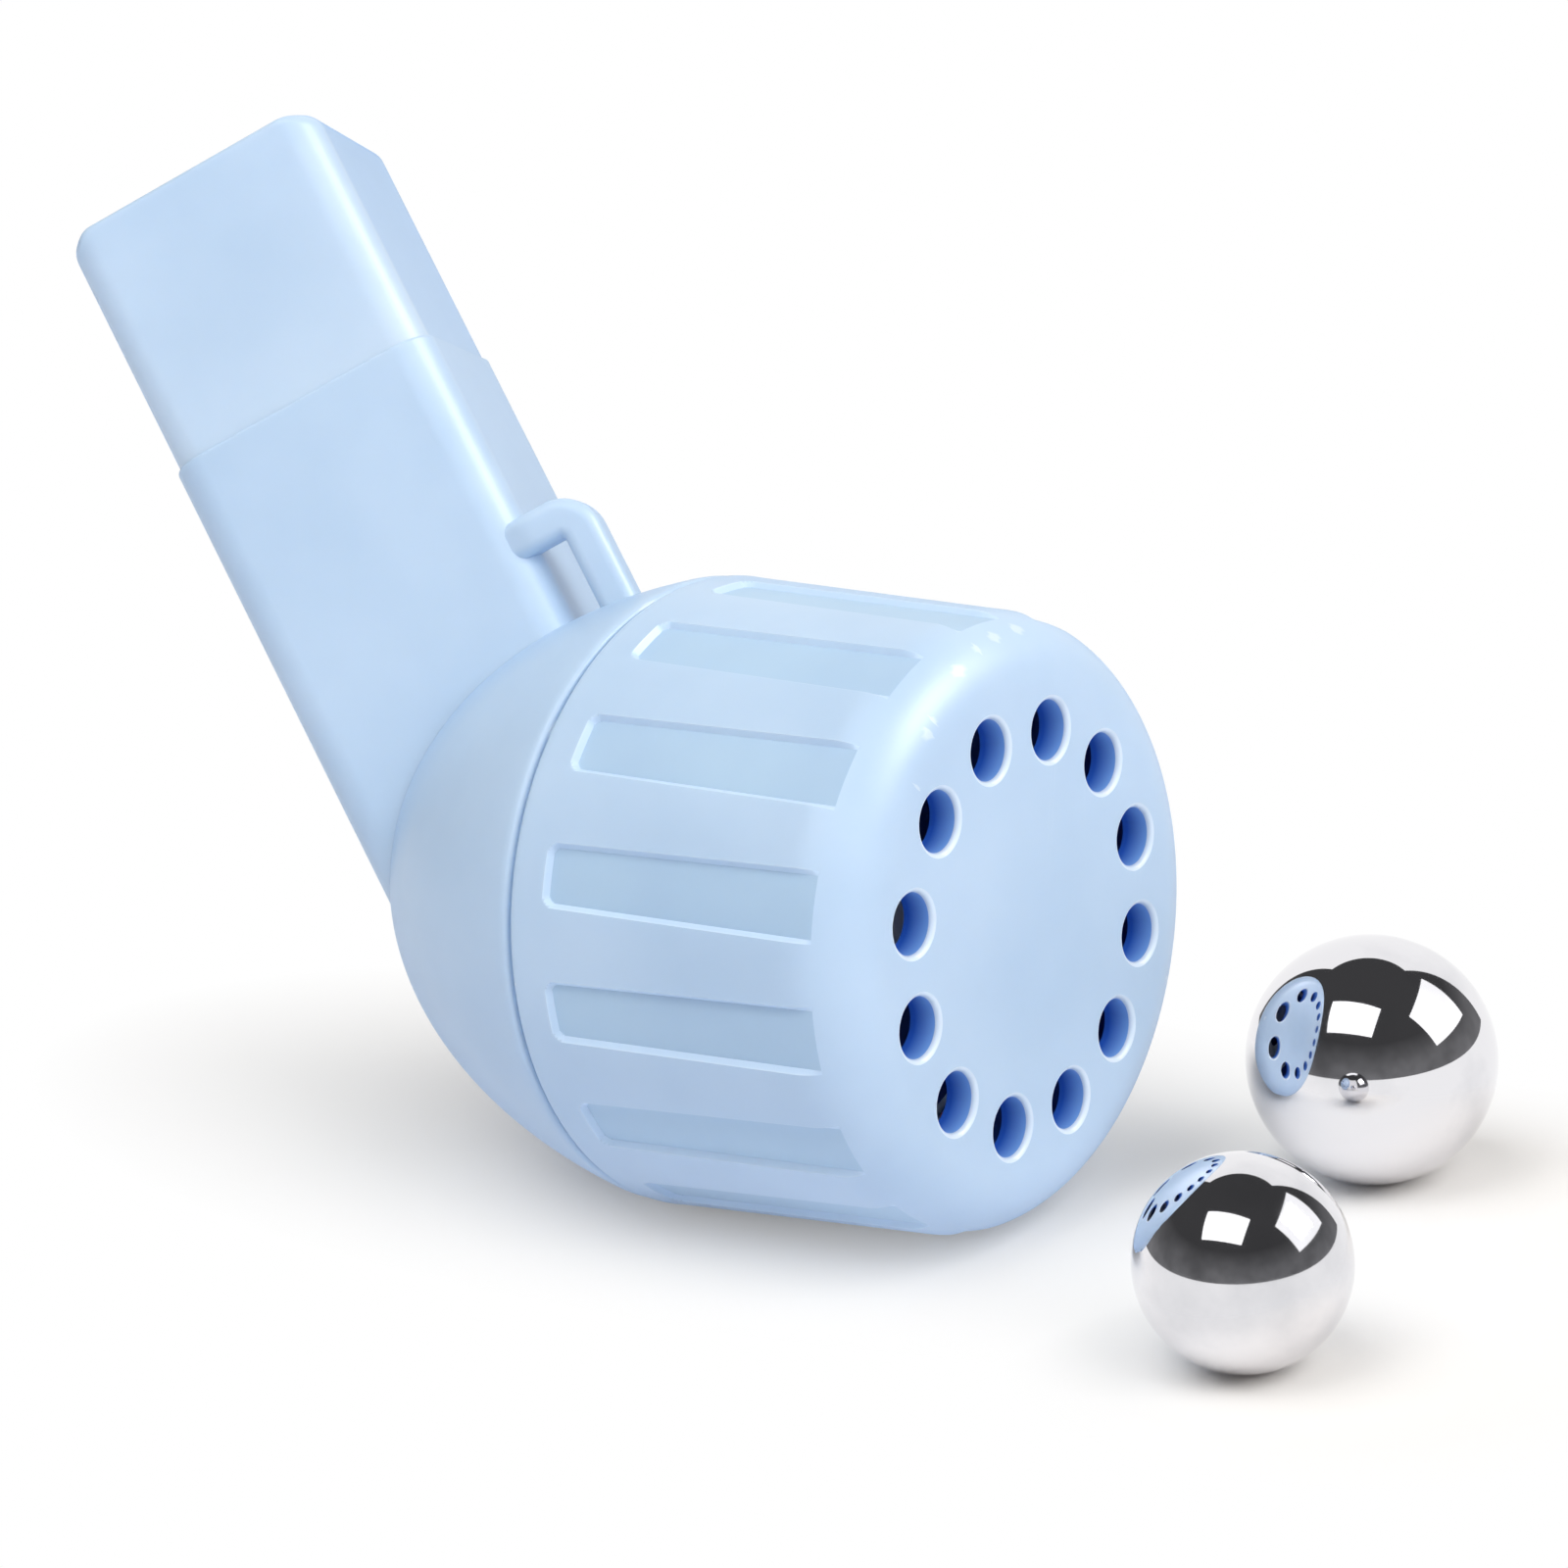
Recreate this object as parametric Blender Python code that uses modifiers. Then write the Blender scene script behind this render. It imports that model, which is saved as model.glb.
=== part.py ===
"""Breathing trainer with an oscillating ball, built from the pieces that it comes apart into.

A pipe-shaped device: a round head lies with its axis along X, its screw cap towards +X. A rectangular
stem rises from the bowl behind the cap and ends in a plug-in mouthpiece. Two steel balls, the heavy and
the light one, stand on the floor in front of the cap, as they do when the device is laid out for cleaning.
"""

from math import asin, atan2, cos, pi, radians, sin, sqrt

import bmesh
import bpy
from mathutils import Matrix, Vector

MM = 0.001
MERGE = 0.00001
CUT_MARGIN = 1.0 * MM

# Clearances between mating pieces
SEAT_GAP = 0.3 * MM
SLIP_GAP = 0.3 * MM
SEAM_GAP = 0.4 * MM
THREAD_GAP = 0.3 * MM

# Head, measured from the cap's front face back along the head's axis
CAP_LENGTH = 29.2 * MM
CAP_PROUD = 0.1 * MM
CAP_DRAFT = 1.7 * MM
CAP_EDGE_RADIUS = 5.2 * MM
CAP_FRONT_WALL = 2.6 * MM
CAP_LIP_WIDTH = 1.8 * MM
SEAM_CHAMFER = 0.4 * MM

# Vent holes in the cap's front
VENT_COUNT = 12
VENT_INSET = 8.3 * MM
VENT_RADIUS = 2.25 * MM
VENT_CHAMFER = 0.35 * MM
VENT_PHASE = radians(-17.1)

# Grip panels sunk into the cap's side
PANEL_COUNT = 15
PANEL_DEPTH = 0.45 * MM
PANEL_REAR_WIDTH = 4.8 * MM
PANEL_FRONT_WIDTH = 5.8 * MM
PANEL_REAR_MARGIN = 3.0 * MM
PANEL_CORNER = 0.9 * MM
PANEL_PHASE = radians(73.5)

# Bowl and the neck that the cap screws onto; its dome would be widest ahead of its own start
BOWL_DEPTH = 28.0 * MM
BOWL_LEAD = 12.0 * MM
BOWL_RADIUS = 24.5 * MM
BOWL_BACK_WALL = 2.5 * MM
NECK_LENGTH = 14.2 * MM
NECK_STEP = 3.3 * MM
NECK_WALL = 1.9 * MM
LEDGE_DEPTH = 11.5 * MM
LEDGE_WIDTH = 1.1 * MM
LEDGE_LIP = 1.0 * MM

# Helical thread round the neck; it fades out over a share of its length at each end
THREAD_PITCH = 4.0 * MM
THREAD_TURNS = 1.5
THREAD_HEIGHT = 0.6 * MM
THREAD_ROOT = 1.8 * MM
THREAD_CREST = 0.8 * MM
THREAD_LEAD_IN = 2.6 * MM
THREAD_FADE = 0.12
THREAD_START = 0.1

# Funnel that the ball rattles in
CONE_THROAT_RADIUS = 6.0 * MM
CONE_LENGTH = 18.0 * MM
CONE_WALL = 1.5 * MM
CONE_FLANGE = 1.6 * MM
CONE_FLANGE_WIDTH = 2.8 * MM

SEAL_THICKNESS = 1.4 * MM

# Stem: its axis starts on the head's axis, leans back and is turned about itself
STEM_FOOT = 46.1 * MM
STEM_TILT = radians(28.3)
STEM_TWIST = radians(32.0)
STEM_LENGTH = 41.9 * MM
STEM_WIDTH = 23.7 * MM
STEM_DEPTH = 22.0 * MM
STEM_CORNER = 2.8 * MM
STEM_WALL = 1.8 * MM
STEM_RIM_CHAMFER = 0.4 * MM
STEM_HEEL = 3.0 * MM
STEM_HEEL_FLOOR = 2.0 * MM

# Mouthpiece and the spigots that the stem joins
MOUTH_LENGTH = 20.4 * MM
MOUTH_STEP = 0.35 * MM
MOUTH_WALL = 1.8 * MM
MOUTH_RIM_ROUND = 0.6 * MM
MOUTH_FLOOR = 2.6 * MM
BOWL_SPIGOT_LENGTH = 11.0 * MM
SPIGOT_SPACING = 3.4 * MM
SPIGOT_WALL = 1.4 * MM

# Lanyard loop at the stem's near inner corner
LOOP_BAND = 3.1 * MM
LOOP_THICKNESS = 3.6 * MM
LOOP_PROUD = 0.4 * MM
LOOP_REACH = 5.7 * MM
LOOP_OVERLAP = 2.3 * MM
LOOP_TOP = 25.2 * MM
LOOP_CORNER = 3.4 * MM
LOOP_INNER_CORNER = 1.0 * MM
LOOP_SOFTENING = 0.6 * MM

# Steel balls: diameters, and places measured from the cap's front centre
LARGE_BALL_DIAMETER = 19.05 * MM
SMALL_BALL_DIAMETER = 15.0 * MM
LARGE_BALL_PLACE = (14.7 * MM, 22.2 * MM)
SMALL_BALL_PLACE = (24.6 * MM, -13.0 * MM)

# Facets
TURN_STEPS = 60
SADDLE_STEPS = 80
VENT_STEPS = 20
EDGE_SEGMENTS = 6
BOWL_SEGMENTS = 12
HOLLOW_SEGMENTS = 10
SADDLE_SEGMENTS = 16
CORNER_SEGMENTS = 4
FINE_SEGMENTS = 3
SOFT_SEGMENTS = 2
BALL_SEGMENTS = 32
BALL_RINGS = 16
SHARP_ANGLE = radians(35)
SOFTENED_ANGLE = radians(50)

# Sizes that follow from the ones above
CAP_REAR_RADIUS = BOWL_RADIUS + CAP_PROUD
CAP_FRONT_RADIUS = CAP_REAR_RADIUS - CAP_DRAFT
VENT_RING_RADIUS = CAP_FRONT_RADIUS - VENT_INSET
NECK_RADIUS = BOWL_RADIUS - NECK_STEP
NECK_BORE = NECK_RADIUS - NECK_WALL
CONE_RADIUS = NECK_BORE - SLIP_GAP
CONE_MOUTH_RADIUS = CONE_RADIUS - CONE_FLANGE_WIDTH
NECK_TOP = -(CAP_LENGTH + SEAM_GAP - NECK_LENGTH)
SHOULDER = -(CAP_LENGTH + SEAM_GAP)
BOWL_WAIST = SHOULDER - 2 * SEAM_CHAMFER
BOWL_END = BOWL_WAIST - BOWL_DEPTH
BOWL_REACH = BOWL_DEPTH + BOWL_LEAD
BOWL_WIDEST = BOWL_RADIUS / sqrt(1 - (BOWL_LEAD / BOWL_REACH) ** 2)
LEDGE = NECK_TOP - LEDGE_DEPTH
LEDGE_RADIUS = NECK_BORE - LEDGE_WIDTH
CAP_BORE = NECK_RADIUS + THREAD_HEIGHT + THREAD_GAP
CAP_CHAMBER = CAP_BORE - CAP_LIP_WIDTH
CAP_LIP = NECK_TOP + SEAL_THICKNESS + 2 * SEAT_GAP
BORE_WIDTH = STEM_WIDTH - 2 * STEM_WALL
BORE_DEPTH = STEM_DEPTH - 2 * STEM_WALL
BORE_CORNER = STEM_CORNER - STEM_WALL
SPIGOT_WIDTH = BORE_WIDTH - 2 * SLIP_GAP
SPIGOT_DEPTH = BORE_DEPTH - 2 * SLIP_GAP
SPIGOT_CORNER = BORE_CORNER - SLIP_GAP / 2
BORE_FLOOR = STEM_HEEL + STEM_HEEL_FLOOR
BOWL_SPIGOT_FOOT = BORE_FLOOR + SEAT_GAP


def rgba(red, green, blue):
    """Linear colour from sRGB values of 0 to 255."""
    channels = [value / 255 for value in (red, green, blue)]
    return [c / 12.92 if c <= 0.04045 else ((c + 0.055) / 1.055) ** 2.4 for c in channels] + [1.0]


def material(name, colour, roughness, metallic=0.0):
    made = bpy.data.materials.new(name)
    made.use_nodes = True
    shader = made.node_tree.nodes["Principled BSDF"]
    shader.inputs["Base Color"].default_value = colour
    shader.inputs["Roughness"].default_value = roughness
    shader.inputs["Metallic"].default_value = metallic
    made.diffuse_color = colour
    return made


def clear_scene():
    for obj in list(bpy.data.objects):
        bpy.data.objects.remove(obj, do_unlink=True)


def collection(name):
    made = bpy.data.collections.new(name)
    bpy.context.scene.collection.children.link(made)
    return made


def place(obj, parent, group):
    """Puts an object in its collection, under its parent's axis."""
    group.objects.link(obj)
    obj.parent = parent
    return obj


def as_cutter(obj, parent, cutters):
    obj.hide_render = True
    obj.display_type = "WIRE"
    return place(obj, parent, cutters)


def shade(obj, finish):
    obj.data.shade_smooth()
    obj.data.set_sharp_from_angle(angle=SHARP_ANGLE)
    obj.data.materials.append(finish)


def arc(centre_radius, centre_height, radius, start, end, segments):
    """Points of a circular arc in a turned profile, from one angle to the other."""
    steps = [start + (end - start) * i / segments for i in range(segments + 1)]
    return [(centre_radius + radius * cos(a), centre_height + radius * sin(a)) for a in steps]


def dome(radius, depth, start, segments, lead=0.0):
    """Points of an elliptical dome back to the axis; its ellipse is widest by lead ahead of the start."""
    reach = depth + lead
    first = asin(lead / reach)
    angles = [first + (pi / 2 - first) * i / segments for i in range(segments)]
    curve = [(radius * cos(a) / cos(first), start + lead - reach * sin(a)) for a in angles]
    return curve + [(0.0, start - depth)]


def turned(name, profile, steps=TURN_STEPS):
    """Solid of revolution about Z, from (radius, height) points that run down its outer side."""
    points = [(r, 0.0, z) for r, z in profile]
    edges = [(i, i + 1) for i in range(len(points) - 1)]
    if profile[0][0] > 0:
        edges.append((len(points) - 1, 0))
    mesh = bpy.data.meshes.new(name)
    mesh.from_pydata(points, edges, [])
    obj = bpy.data.objects.new(name, mesh)
    screw = obj.modifiers.new("Turn", "SCREW")
    screw.axis = "Z"
    screw.steps = screw.render_steps = steps
    screw.use_merge_vertices = True
    screw.merge_threshold = MERGE
    screw.use_smooth_shade = True
    return obj


def boolean(obj, other, operation):
    modifier = obj.modifiers.new(operation.title() + " " + other.name, "BOOLEAN")
    modifier.operation = operation
    modifier.solver = "EXACT"
    modifier.object = other
    return modifier


def from_bmesh(name, build):
    """New object whose mesh the given function fills."""
    mesh = bpy.data.meshes.new(name)
    shape = bmesh.new()
    build(shape)
    bmesh.ops.recalc_face_normals(shape, faces=shape.faces)
    shape.to_mesh(mesh)
    shape.free()
    return bpy.data.objects.new(name, mesh)


def is_upright(edge):
    first, second = (vertex.co for vertex in edge.verts)
    return abs(first.x - second.x) + abs(first.y - second.y) < MERGE


def is_level_at(edge, height):
    return all(abs(vertex.co.z - height) < MERGE for vertex in edge.verts)


def bar(name, width, depth, bottom, top, corner, rim=0.0, rim_segments=1):
    """Upright rectangular bar with rounded corners, and its top edge cut back by rim."""

    def build(shape):
        centre = Matrix.Translation((0, 0, (bottom + top) / 2))
        size = Matrix.Diagonal((width, depth, top - bottom, 1))
        bmesh.ops.create_cube(shape, size=1.0, matrix=centre @ size)
        corners = [edge for edge in shape.edges if is_upright(edge)]
        bmesh.ops.bevel(
            shape, geom=corners, offset=corner, segments=CORNER_SEGMENTS, profile=0.5, affect="EDGES"
        )
        if rim > 0:
            edges = [edge for edge in shape.edges if is_level_at(edge, top)]
            bmesh.ops.bevel(
                shape, geom=edges, offset=rim, segments=rim_segments, profile=0.5, affect="EDGES"
            )

    return from_bmesh(name, build)


def vent_cones(name, bottom_radius, top_radius, length, middle):
    """One cone for each vent hole, on the ring in the cap's front."""

    def build(shape):
        for index in range(VENT_COUNT):
            angle = VENT_PHASE + 2 * pi * index / VENT_COUNT
            spot = Vector((VENT_RING_RADIUS * cos(angle), VENT_RING_RADIUS * sin(angle), middle))
            bmesh.ops.create_cone(
                shape, cap_ends=True, segments=VENT_STEPS, radius1=bottom_radius, radius2=top_radius,
                depth=length, matrix=Matrix.Translation(spot),
            )

    return from_bmesh(name, build)


def side_radius(height):
    """Radius of the cap's tapered side, before its front edge is rounded."""
    share = -height / CAP_LENGTH
    return CAP_FRONT_RADIUS + (CAP_REAR_RADIUS - CAP_FRONT_RADIUS) * share


def panel_prisms():
    """Radial prisms with the outline of the grip panels, wider towards the front."""
    rear = -(CAP_LENGTH - PANEL_REAR_MARGIN)
    outside = CAP_REAR_RADIUS + 2 * CUT_MARGIN
    inside = side_radius(CAP_EDGE_RADIUS) - PANEL_DEPTH - CUT_MARGIN

    def build(shape):
        for index in range(PANEL_COUNT):
            angle = PANEL_PHASE + 2 * pi * index / PANEL_COUNT
            outline = [
                (-PANEL_REAR_WIDTH / 2, rear),
                (PANEL_REAR_WIDTH / 2, rear),
                (PANEL_FRONT_WIDTH / 2, CAP_EDGE_RADIUS),
                (-PANEL_FRONT_WIDTH / 2, CAP_EDGE_RADIUS),
            ]
            vertices = [shape.verts.new((inside, y, z)) for y, z in outline]
            shape.faces.new(vertices)
            bmesh.ops.bevel(
                shape, geom=vertices[:2], offset=PANEL_CORNER, segments=FINE_SEGMENTS, profile=0.5,
                affect="VERTICES",
            )
            face = [f for f in shape.faces if all(abs(v.co.x - inside) < MERGE for v in f.verts)][-1]
            grown = bmesh.ops.extrude_face_region(shape, geom=[face])
            moved = [item for item in grown["geom"] if isinstance(item, bmesh.types.BMVert)]
            bmesh.ops.translate(shape, verts=moved, vec=(outside - inside, 0, 0))
            prism = list(set(moved) | set(face.verts))
            bmesh.ops.rotate(shape, verts=prism, cent=(0, 0, 0), matrix=Matrix.Rotation(angle, 3, "Z"))

    return from_bmesh("panel_prisms", build)


def panel_cutter(axis, cutters):
    """Ring between the panels' floor and the open air, kept only inside the panel outlines."""
    outside = CAP_REAR_RADIUS + CUT_MARGIN
    ring = turned(
        "panel_cutter",
        [
            (side_radius(CAP_EDGE_RADIUS) - PANEL_DEPTH, CAP_EDGE_RADIUS),
            (outside, CAP_EDGE_RADIUS),
            (outside, -CAP_LENGTH),
            (side_radius(-CAP_LENGTH) - PANEL_DEPTH, -CAP_LENGTH),
        ],
    )
    as_cutter(ring, axis, cutters)
    prisms = as_cutter(panel_prisms(), axis, cutters)
    boolean(ring, prisms, "INTERSECT")
    return ring


def make_cap(axis, parts, cutters, finish):
    """Screw cap: a cup with a soft front edge, vent holes in its front and grip panels round its side."""
    edge_angle = atan2(CAP_REAR_RADIUS - CAP_FRONT_RADIUS, CAP_LENGTH)
    edge_centre = side_radius(-CAP_EDGE_RADIUS) - CAP_EDGE_RADIUS
    profile = [(0.0, 0.0)]
    profile += arc(edge_centre, -CAP_EDGE_RADIUS, CAP_EDGE_RADIUS, pi / 2, edge_angle, EDGE_SEGMENTS)
    profile += [
        (CAP_REAR_RADIUS, -CAP_LENGTH + SEAM_CHAMFER),
        (CAP_REAR_RADIUS - SEAM_CHAMFER, -CAP_LENGTH),
        (CAP_BORE, -CAP_LENGTH),
        (CAP_BORE, CAP_LIP),
        (CAP_CHAMBER, CAP_LIP),
        (CAP_CHAMBER, -CAP_FRONT_WALL),
        (0.0, -CAP_FRONT_WALL),
    ]
    cap = place(turned("cap", profile), axis, parts)
    boolean(cap, panel_cutter(axis, cutters), "DIFFERENCE")
    plug_length = CAP_FRONT_WALL + 2 * CUT_MARGIN
    plugs = vent_cones("vent_plugs", VENT_RADIUS, VENT_RADIUS, plug_length, -CAP_FRONT_WALL / 2)
    boolean(cap, as_cutter(plugs, axis, cutters), "DIFFERENCE")
    rims = vent_cones(
        "vent_rims", VENT_RADIUS - VENT_CHAMFER, VENT_RADIUS + VENT_CHAMFER, 2 * VENT_CHAMFER, 0.0
    )
    boolean(cap, as_cutter(rims, axis, cutters), "DIFFERENCE")
    shade(cap, finish)
    return cap


def thread_ridge():
    """Helical ridge for the cap's thread; its root and its two ends lie inside the neck's wall."""
    root = NECK_RADIUS - NECK_WALL / 3
    steps = round(THREAD_TURNS * TURN_STEPS)
    bottom = NECK_TOP - THREAD_LEAD_IN - THREAD_TURNS * THREAD_PITCH

    def section(share):
        rise = min(1.0, THREAD_START + share / THREAD_FADE, THREAD_START + (1 - share) / THREAD_FADE)
        crest = root + (NECK_RADIUS + THREAD_HEIGHT - root) * rise
        middle = bottom + THREAD_TURNS * THREAD_PITCH * share
        angle = 2 * pi * THREAD_TURNS * share
        lower = [(root, -THREAD_ROOT / 2), (crest, -THREAD_CREST / 2)]
        upper = [(crest, THREAD_CREST / 2), (root, THREAD_ROOT / 2)]
        return [(r * cos(angle), r * sin(angle), middle + z) for r, z in lower + upper]

    def build(shape):
        rings = [[shape.verts.new(point) for point in section(i / steps)] for i in range(steps + 1)]
        for first, second in zip(rings, rings[1:]):
            for i in range(len(first)):
                after = (i + 1) % len(first)
                shape.faces.new((first[i], first[after], second[after], second[i]))
        shape.faces.new(rings[0])
        shape.faces.new(rings[-1])

    return from_bmesh("thread_ridge", build)


def make_bowl(axis, stem_axis, parts, cutters, finish):
    """Bowl with the threaded neck in front and a rectangular spigot for the stem at its back."""
    profile = [(0.0, NECK_TOP), (NECK_RADIUS, NECK_TOP), (NECK_RADIUS, SHOULDER)]
    profile += [(BOWL_RADIUS - SEAM_CHAMFER, SHOULDER), (BOWL_RADIUS, SHOULDER - SEAM_CHAMFER)]
    profile += dome(BOWL_RADIUS, BOWL_DEPTH, BOWL_WAIST, BOWL_SEGMENTS, BOWL_LEAD)
    bowl = place(turned("bowl", profile), axis, parts)
    boolean(bowl, as_cutter(thread_ridge(), axis, cutters), "UNION")

    spigot_top = bowl_spigot_top()
    spigot = bar(
        "bowl_spigot", SPIGOT_WIDTH, SPIGOT_DEPTH, BOWL_SPIGOT_FOOT, spigot_top, SPIGOT_CORNER
    )
    boolean(bowl, as_cutter(spigot, stem_axis, cutters), "UNION")

    mouth = NECK_TOP + CUT_MARGIN
    hollow = [(0.0, mouth), (NECK_BORE, mouth), (NECK_BORE, LEDGE), (LEDGE_RADIUS, LEDGE)]
    hollow_depth = LEDGE - LEDGE_LIP - BOWL_END - BOWL_BACK_WALL
    hollow += dome(LEDGE_RADIUS, hollow_depth, LEDGE - LEDGE_LIP, HOLLOW_SEGMENTS)
    boolean(bowl, as_cutter(turned("bowl_hollow", hollow), axis, cutters), "DIFFERENCE")

    duct = bar(
        "bowl_duct", SPIGOT_WIDTH - 2 * SPIGOT_WALL, SPIGOT_DEPTH - 2 * SPIGOT_WALL,
        BOWL_SPIGOT_FOOT + SPIGOT_WALL, spigot_top + CUT_MARGIN, SPIGOT_CORNER / 2,
    )
    boolean(bowl, as_cutter(duct, stem_axis, cutters), "DIFFERENCE")
    shade(bowl, finish)
    return bowl


def bowl_exit():
    """Distance along the stem's axis at which it leaves the bowl's outer surface."""
    start = BOWL_WAIST + BOWL_LEAD + STEM_FOOT
    back, rise = sin(STEM_TILT), cos(STEM_TILT)
    a = (back / BOWL_REACH) ** 2 + (rise / BOWL_WIDEST) ** 2
    b = 2 * start * back / BOWL_REACH**2
    c = (start / BOWL_REACH) ** 2 - 1
    return (-b + sqrt(b * b - 4 * a * c)) / (2 * a)


def bowl_spigot_top():
    """Distance along the stem's axis at which the bowl's spigot ends."""
    return bowl_exit() + BOWL_SPIGOT_LENGTH


def loop_outline():
    """Hook-shaped outline of the lanyard loop in the stem's X and Z, from inside its foot."""
    inner = STEM_WIDTH / 2 + LOOP_REACH - LOOP_BAND
    outer = STEM_WIDTH / 2 + LOOP_REACH
    left = STEM_WIDTH / 2 - LOOP_OVERLAP
    under = LOOP_TOP - LOOP_BAND
    foot = LOOP_TOP / 2
    return [
        (left, under), (inner, under), (inner, foot), (outer, foot), (outer, LOOP_TOP), (left, LOOP_TOP)
    ]


def make_loop():
    """Lanyard loop: a flat hook from the stem's inner corner down to the bowl."""
    near = -STEM_DEPTH / 2 - LOOP_PROUD

    def build(shape):
        vertices = [shape.verts.new((x, near, z)) for x, z in loop_outline()]
        shape.faces.new(vertices)
        bmesh.ops.bevel(
            shape, geom=[vertices[4]], offset=LOOP_CORNER, segments=EDGE_SEGMENTS, profile=0.5,
            affect="VERTICES",
        )
        bmesh.ops.bevel(
            shape, geom=[vertices[1]], offset=LOOP_INNER_CORNER, segments=FINE_SEGMENTS, profile=0.5,
            affect="VERTICES",
        )
        grown = bmesh.ops.extrude_face_region(shape, geom=list(shape.faces))
        moved = [item for item in grown["geom"] if isinstance(item, bmesh.types.BMVert)]
        bmesh.ops.translate(shape, verts=moved, vec=(0, LOOP_THICKNESS, 0))

    loop = from_bmesh("loop_blank", build)
    soft = loop.modifiers.new("Soften", "BEVEL")
    soft.width = LOOP_SOFTENING
    soft.segments = SOFT_SEGMENTS
    soft.limit_method = "ANGLE"
    soft.angle_limit = SOFTENED_ANGLE
    return loop


def make_stem(axis, stem_axis, parts, cutters, finish):
    """Rectangular sleeve that saddles the bowl; its heel, behind the bowl, has a floor."""
    stem = bar(
        "stem", STEM_WIDTH, STEM_DEPTH, STEM_HEEL, STEM_LENGTH, STEM_CORNER, STEM_RIM_CHAMFER
    )
    place(stem, stem_axis, parts)
    boolean(stem, as_cutter(make_loop(), stem_axis, cutters), "UNION")
    bore = bar(
        "stem_bore", BORE_WIDTH, BORE_DEPTH, BORE_FLOOR, STEM_LENGTH + CUT_MARGIN, BORE_CORNER
    )
    boolean(stem, as_cutter(bore, stem_axis, cutters), "DIFFERENCE")
    saddle = [(0.0, NECK_TOP), (BOWL_RADIUS + SEAT_GAP, NECK_TOP)]
    saddle += dome(
        BOWL_RADIUS + SEAT_GAP, BOWL_DEPTH + SEAT_GAP, BOWL_WAIST, SADDLE_SEGMENTS, BOWL_LEAD
    )
    room = turned("stem_saddle", saddle, SADDLE_STEPS)
    boolean(stem, as_cutter(room, axis, cutters), "DIFFERENCE")
    shade(stem, finish)
    return stem


def make_mouthpiece(stem_axis, parts, cutters, finish):
    """Plug-in end of the stem: a rimmed rectangular tube over a narrower spigot."""
    width = STEM_WIDTH - 2 * MOUTH_STEP
    depth = STEM_DEPTH - 2 * MOUTH_STEP
    bottom = STEM_LENGTH + SEAT_GAP
    top = bottom + MOUTH_LENGTH
    corner = STEM_CORNER - MOUTH_STEP
    piece = bar("mouthpiece", width, depth, bottom, top, corner, MOUTH_RIM_ROUND, FINE_SEGMENTS)
    place(piece, stem_axis, parts)
    spigot_end = bowl_spigot_top() + SPIGOT_SPACING
    spigot = bar(
        "mouthpiece_spigot", SPIGOT_WIDTH, SPIGOT_DEPTH, spigot_end, bottom + CUT_MARGIN, SPIGOT_CORNER
    )
    boolean(piece, as_cutter(spigot, stem_axis, cutters), "UNION")
    well = bar(
        "mouthpiece_well", width - 2 * MOUTH_WALL, depth - 2 * MOUTH_WALL, bottom + MOUTH_FLOOR,
        top + CUT_MARGIN, corner - MOUTH_WALL / 2,
    )
    boolean(piece, as_cutter(well, stem_axis, cutters), "DIFFERENCE")
    bore = bar(
        "mouthpiece_bore", SPIGOT_WIDTH - 2 * SPIGOT_WALL, SPIGOT_DEPTH - 2 * SPIGOT_WALL,
        spigot_end - CUT_MARGIN, top, SPIGOT_CORNER / 2,
    )
    boolean(piece, as_cutter(bore, stem_axis, cutters), "DIFFERENCE")
    shade(piece, finish)
    return piece


def make_cone(axis, parts, finish):
    """Loose funnel whose flange rests on the ledge inside the bowl's neck."""
    top = LEDGE + SEAT_GAP + CONE_FLANGE
    slope = (CONE_MOUTH_RADIUS - CONE_THROAT_RADIUS) / CONE_LENGTH
    thickness = CONE_WALL * sqrt(1 + slope**2)
    under = CONE_MOUTH_RADIUS - slope * CONE_FLANGE + thickness
    profile = [
        (CONE_MOUTH_RADIUS, top),
        (CONE_RADIUS, top),
        (CONE_RADIUS, top - CONE_FLANGE),
        (under, top - CONE_FLANGE),
        (CONE_THROAT_RADIUS + thickness, top - CONE_LENGTH),
        (CONE_THROAT_RADIUS, top - CONE_LENGTH),
    ]
    cone = place(turned("ball_cone", profile), axis, parts)
    shade(cone, finish)
    return cone


def make_seal(axis, parts, finish):
    """Flat gasket between the neck's rim and the lip inside the cap."""
    bottom = NECK_TOP + SEAT_GAP
    inner = NECK_BORE + SLIP_GAP
    outer = CAP_BORE - SLIP_GAP
    profile = [
        (inner, bottom + SEAL_THICKNESS), (outer, bottom + SEAL_THICKNESS), (outer, bottom), (inner, bottom)
    ]
    seal = place(turned("cap_seal", profile), axis, parts)
    shade(seal, finish)
    return seal


def make_ball(name, diameter, spot, floor, axis, parts, finish):
    """Polished ball that stands on the floor."""

    def build(shape):
        bmesh.ops.create_uvsphere(
            shape, u_segments=BALL_SEGMENTS, v_segments=BALL_RINGS, radius=diameter / 2
        )

    ball = place(from_bmesh(name, build), axis, parts)
    ball.location = (spot[0], spot[1], floor + diameter / 2)
    shade(ball, finish)
    return ball


def empty(name, parent, group, matrix=None):
    made = bpy.data.objects.new(name, None)
    group.objects.link(made)
    made.parent = parent
    if matrix is not None:
        made.matrix_local = matrix
    return made


def stand_on_origin(root, parts):
    """Moves the whole layout so that the origin is at the middle of its box's underside."""
    bpy.context.view_layer.update()
    graph = bpy.context.evaluated_depsgraph_get()
    corners = []
    for obj in parts.objects:
        if obj.type == "MESH":
            mesh = obj.evaluated_get(graph).to_mesh()
            corners += [obj.matrix_world @ vertex.co for vertex in mesh.vertices]
    low = Vector([min(corner[i] for corner in corners) for i in range(3)])
    high = Vector([max(corner[i] for corner in corners) for i in range(3)])
    root.location -= Vector(((low.x + high.x) / 2, (low.y + high.y) / 2, low.z))


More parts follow.
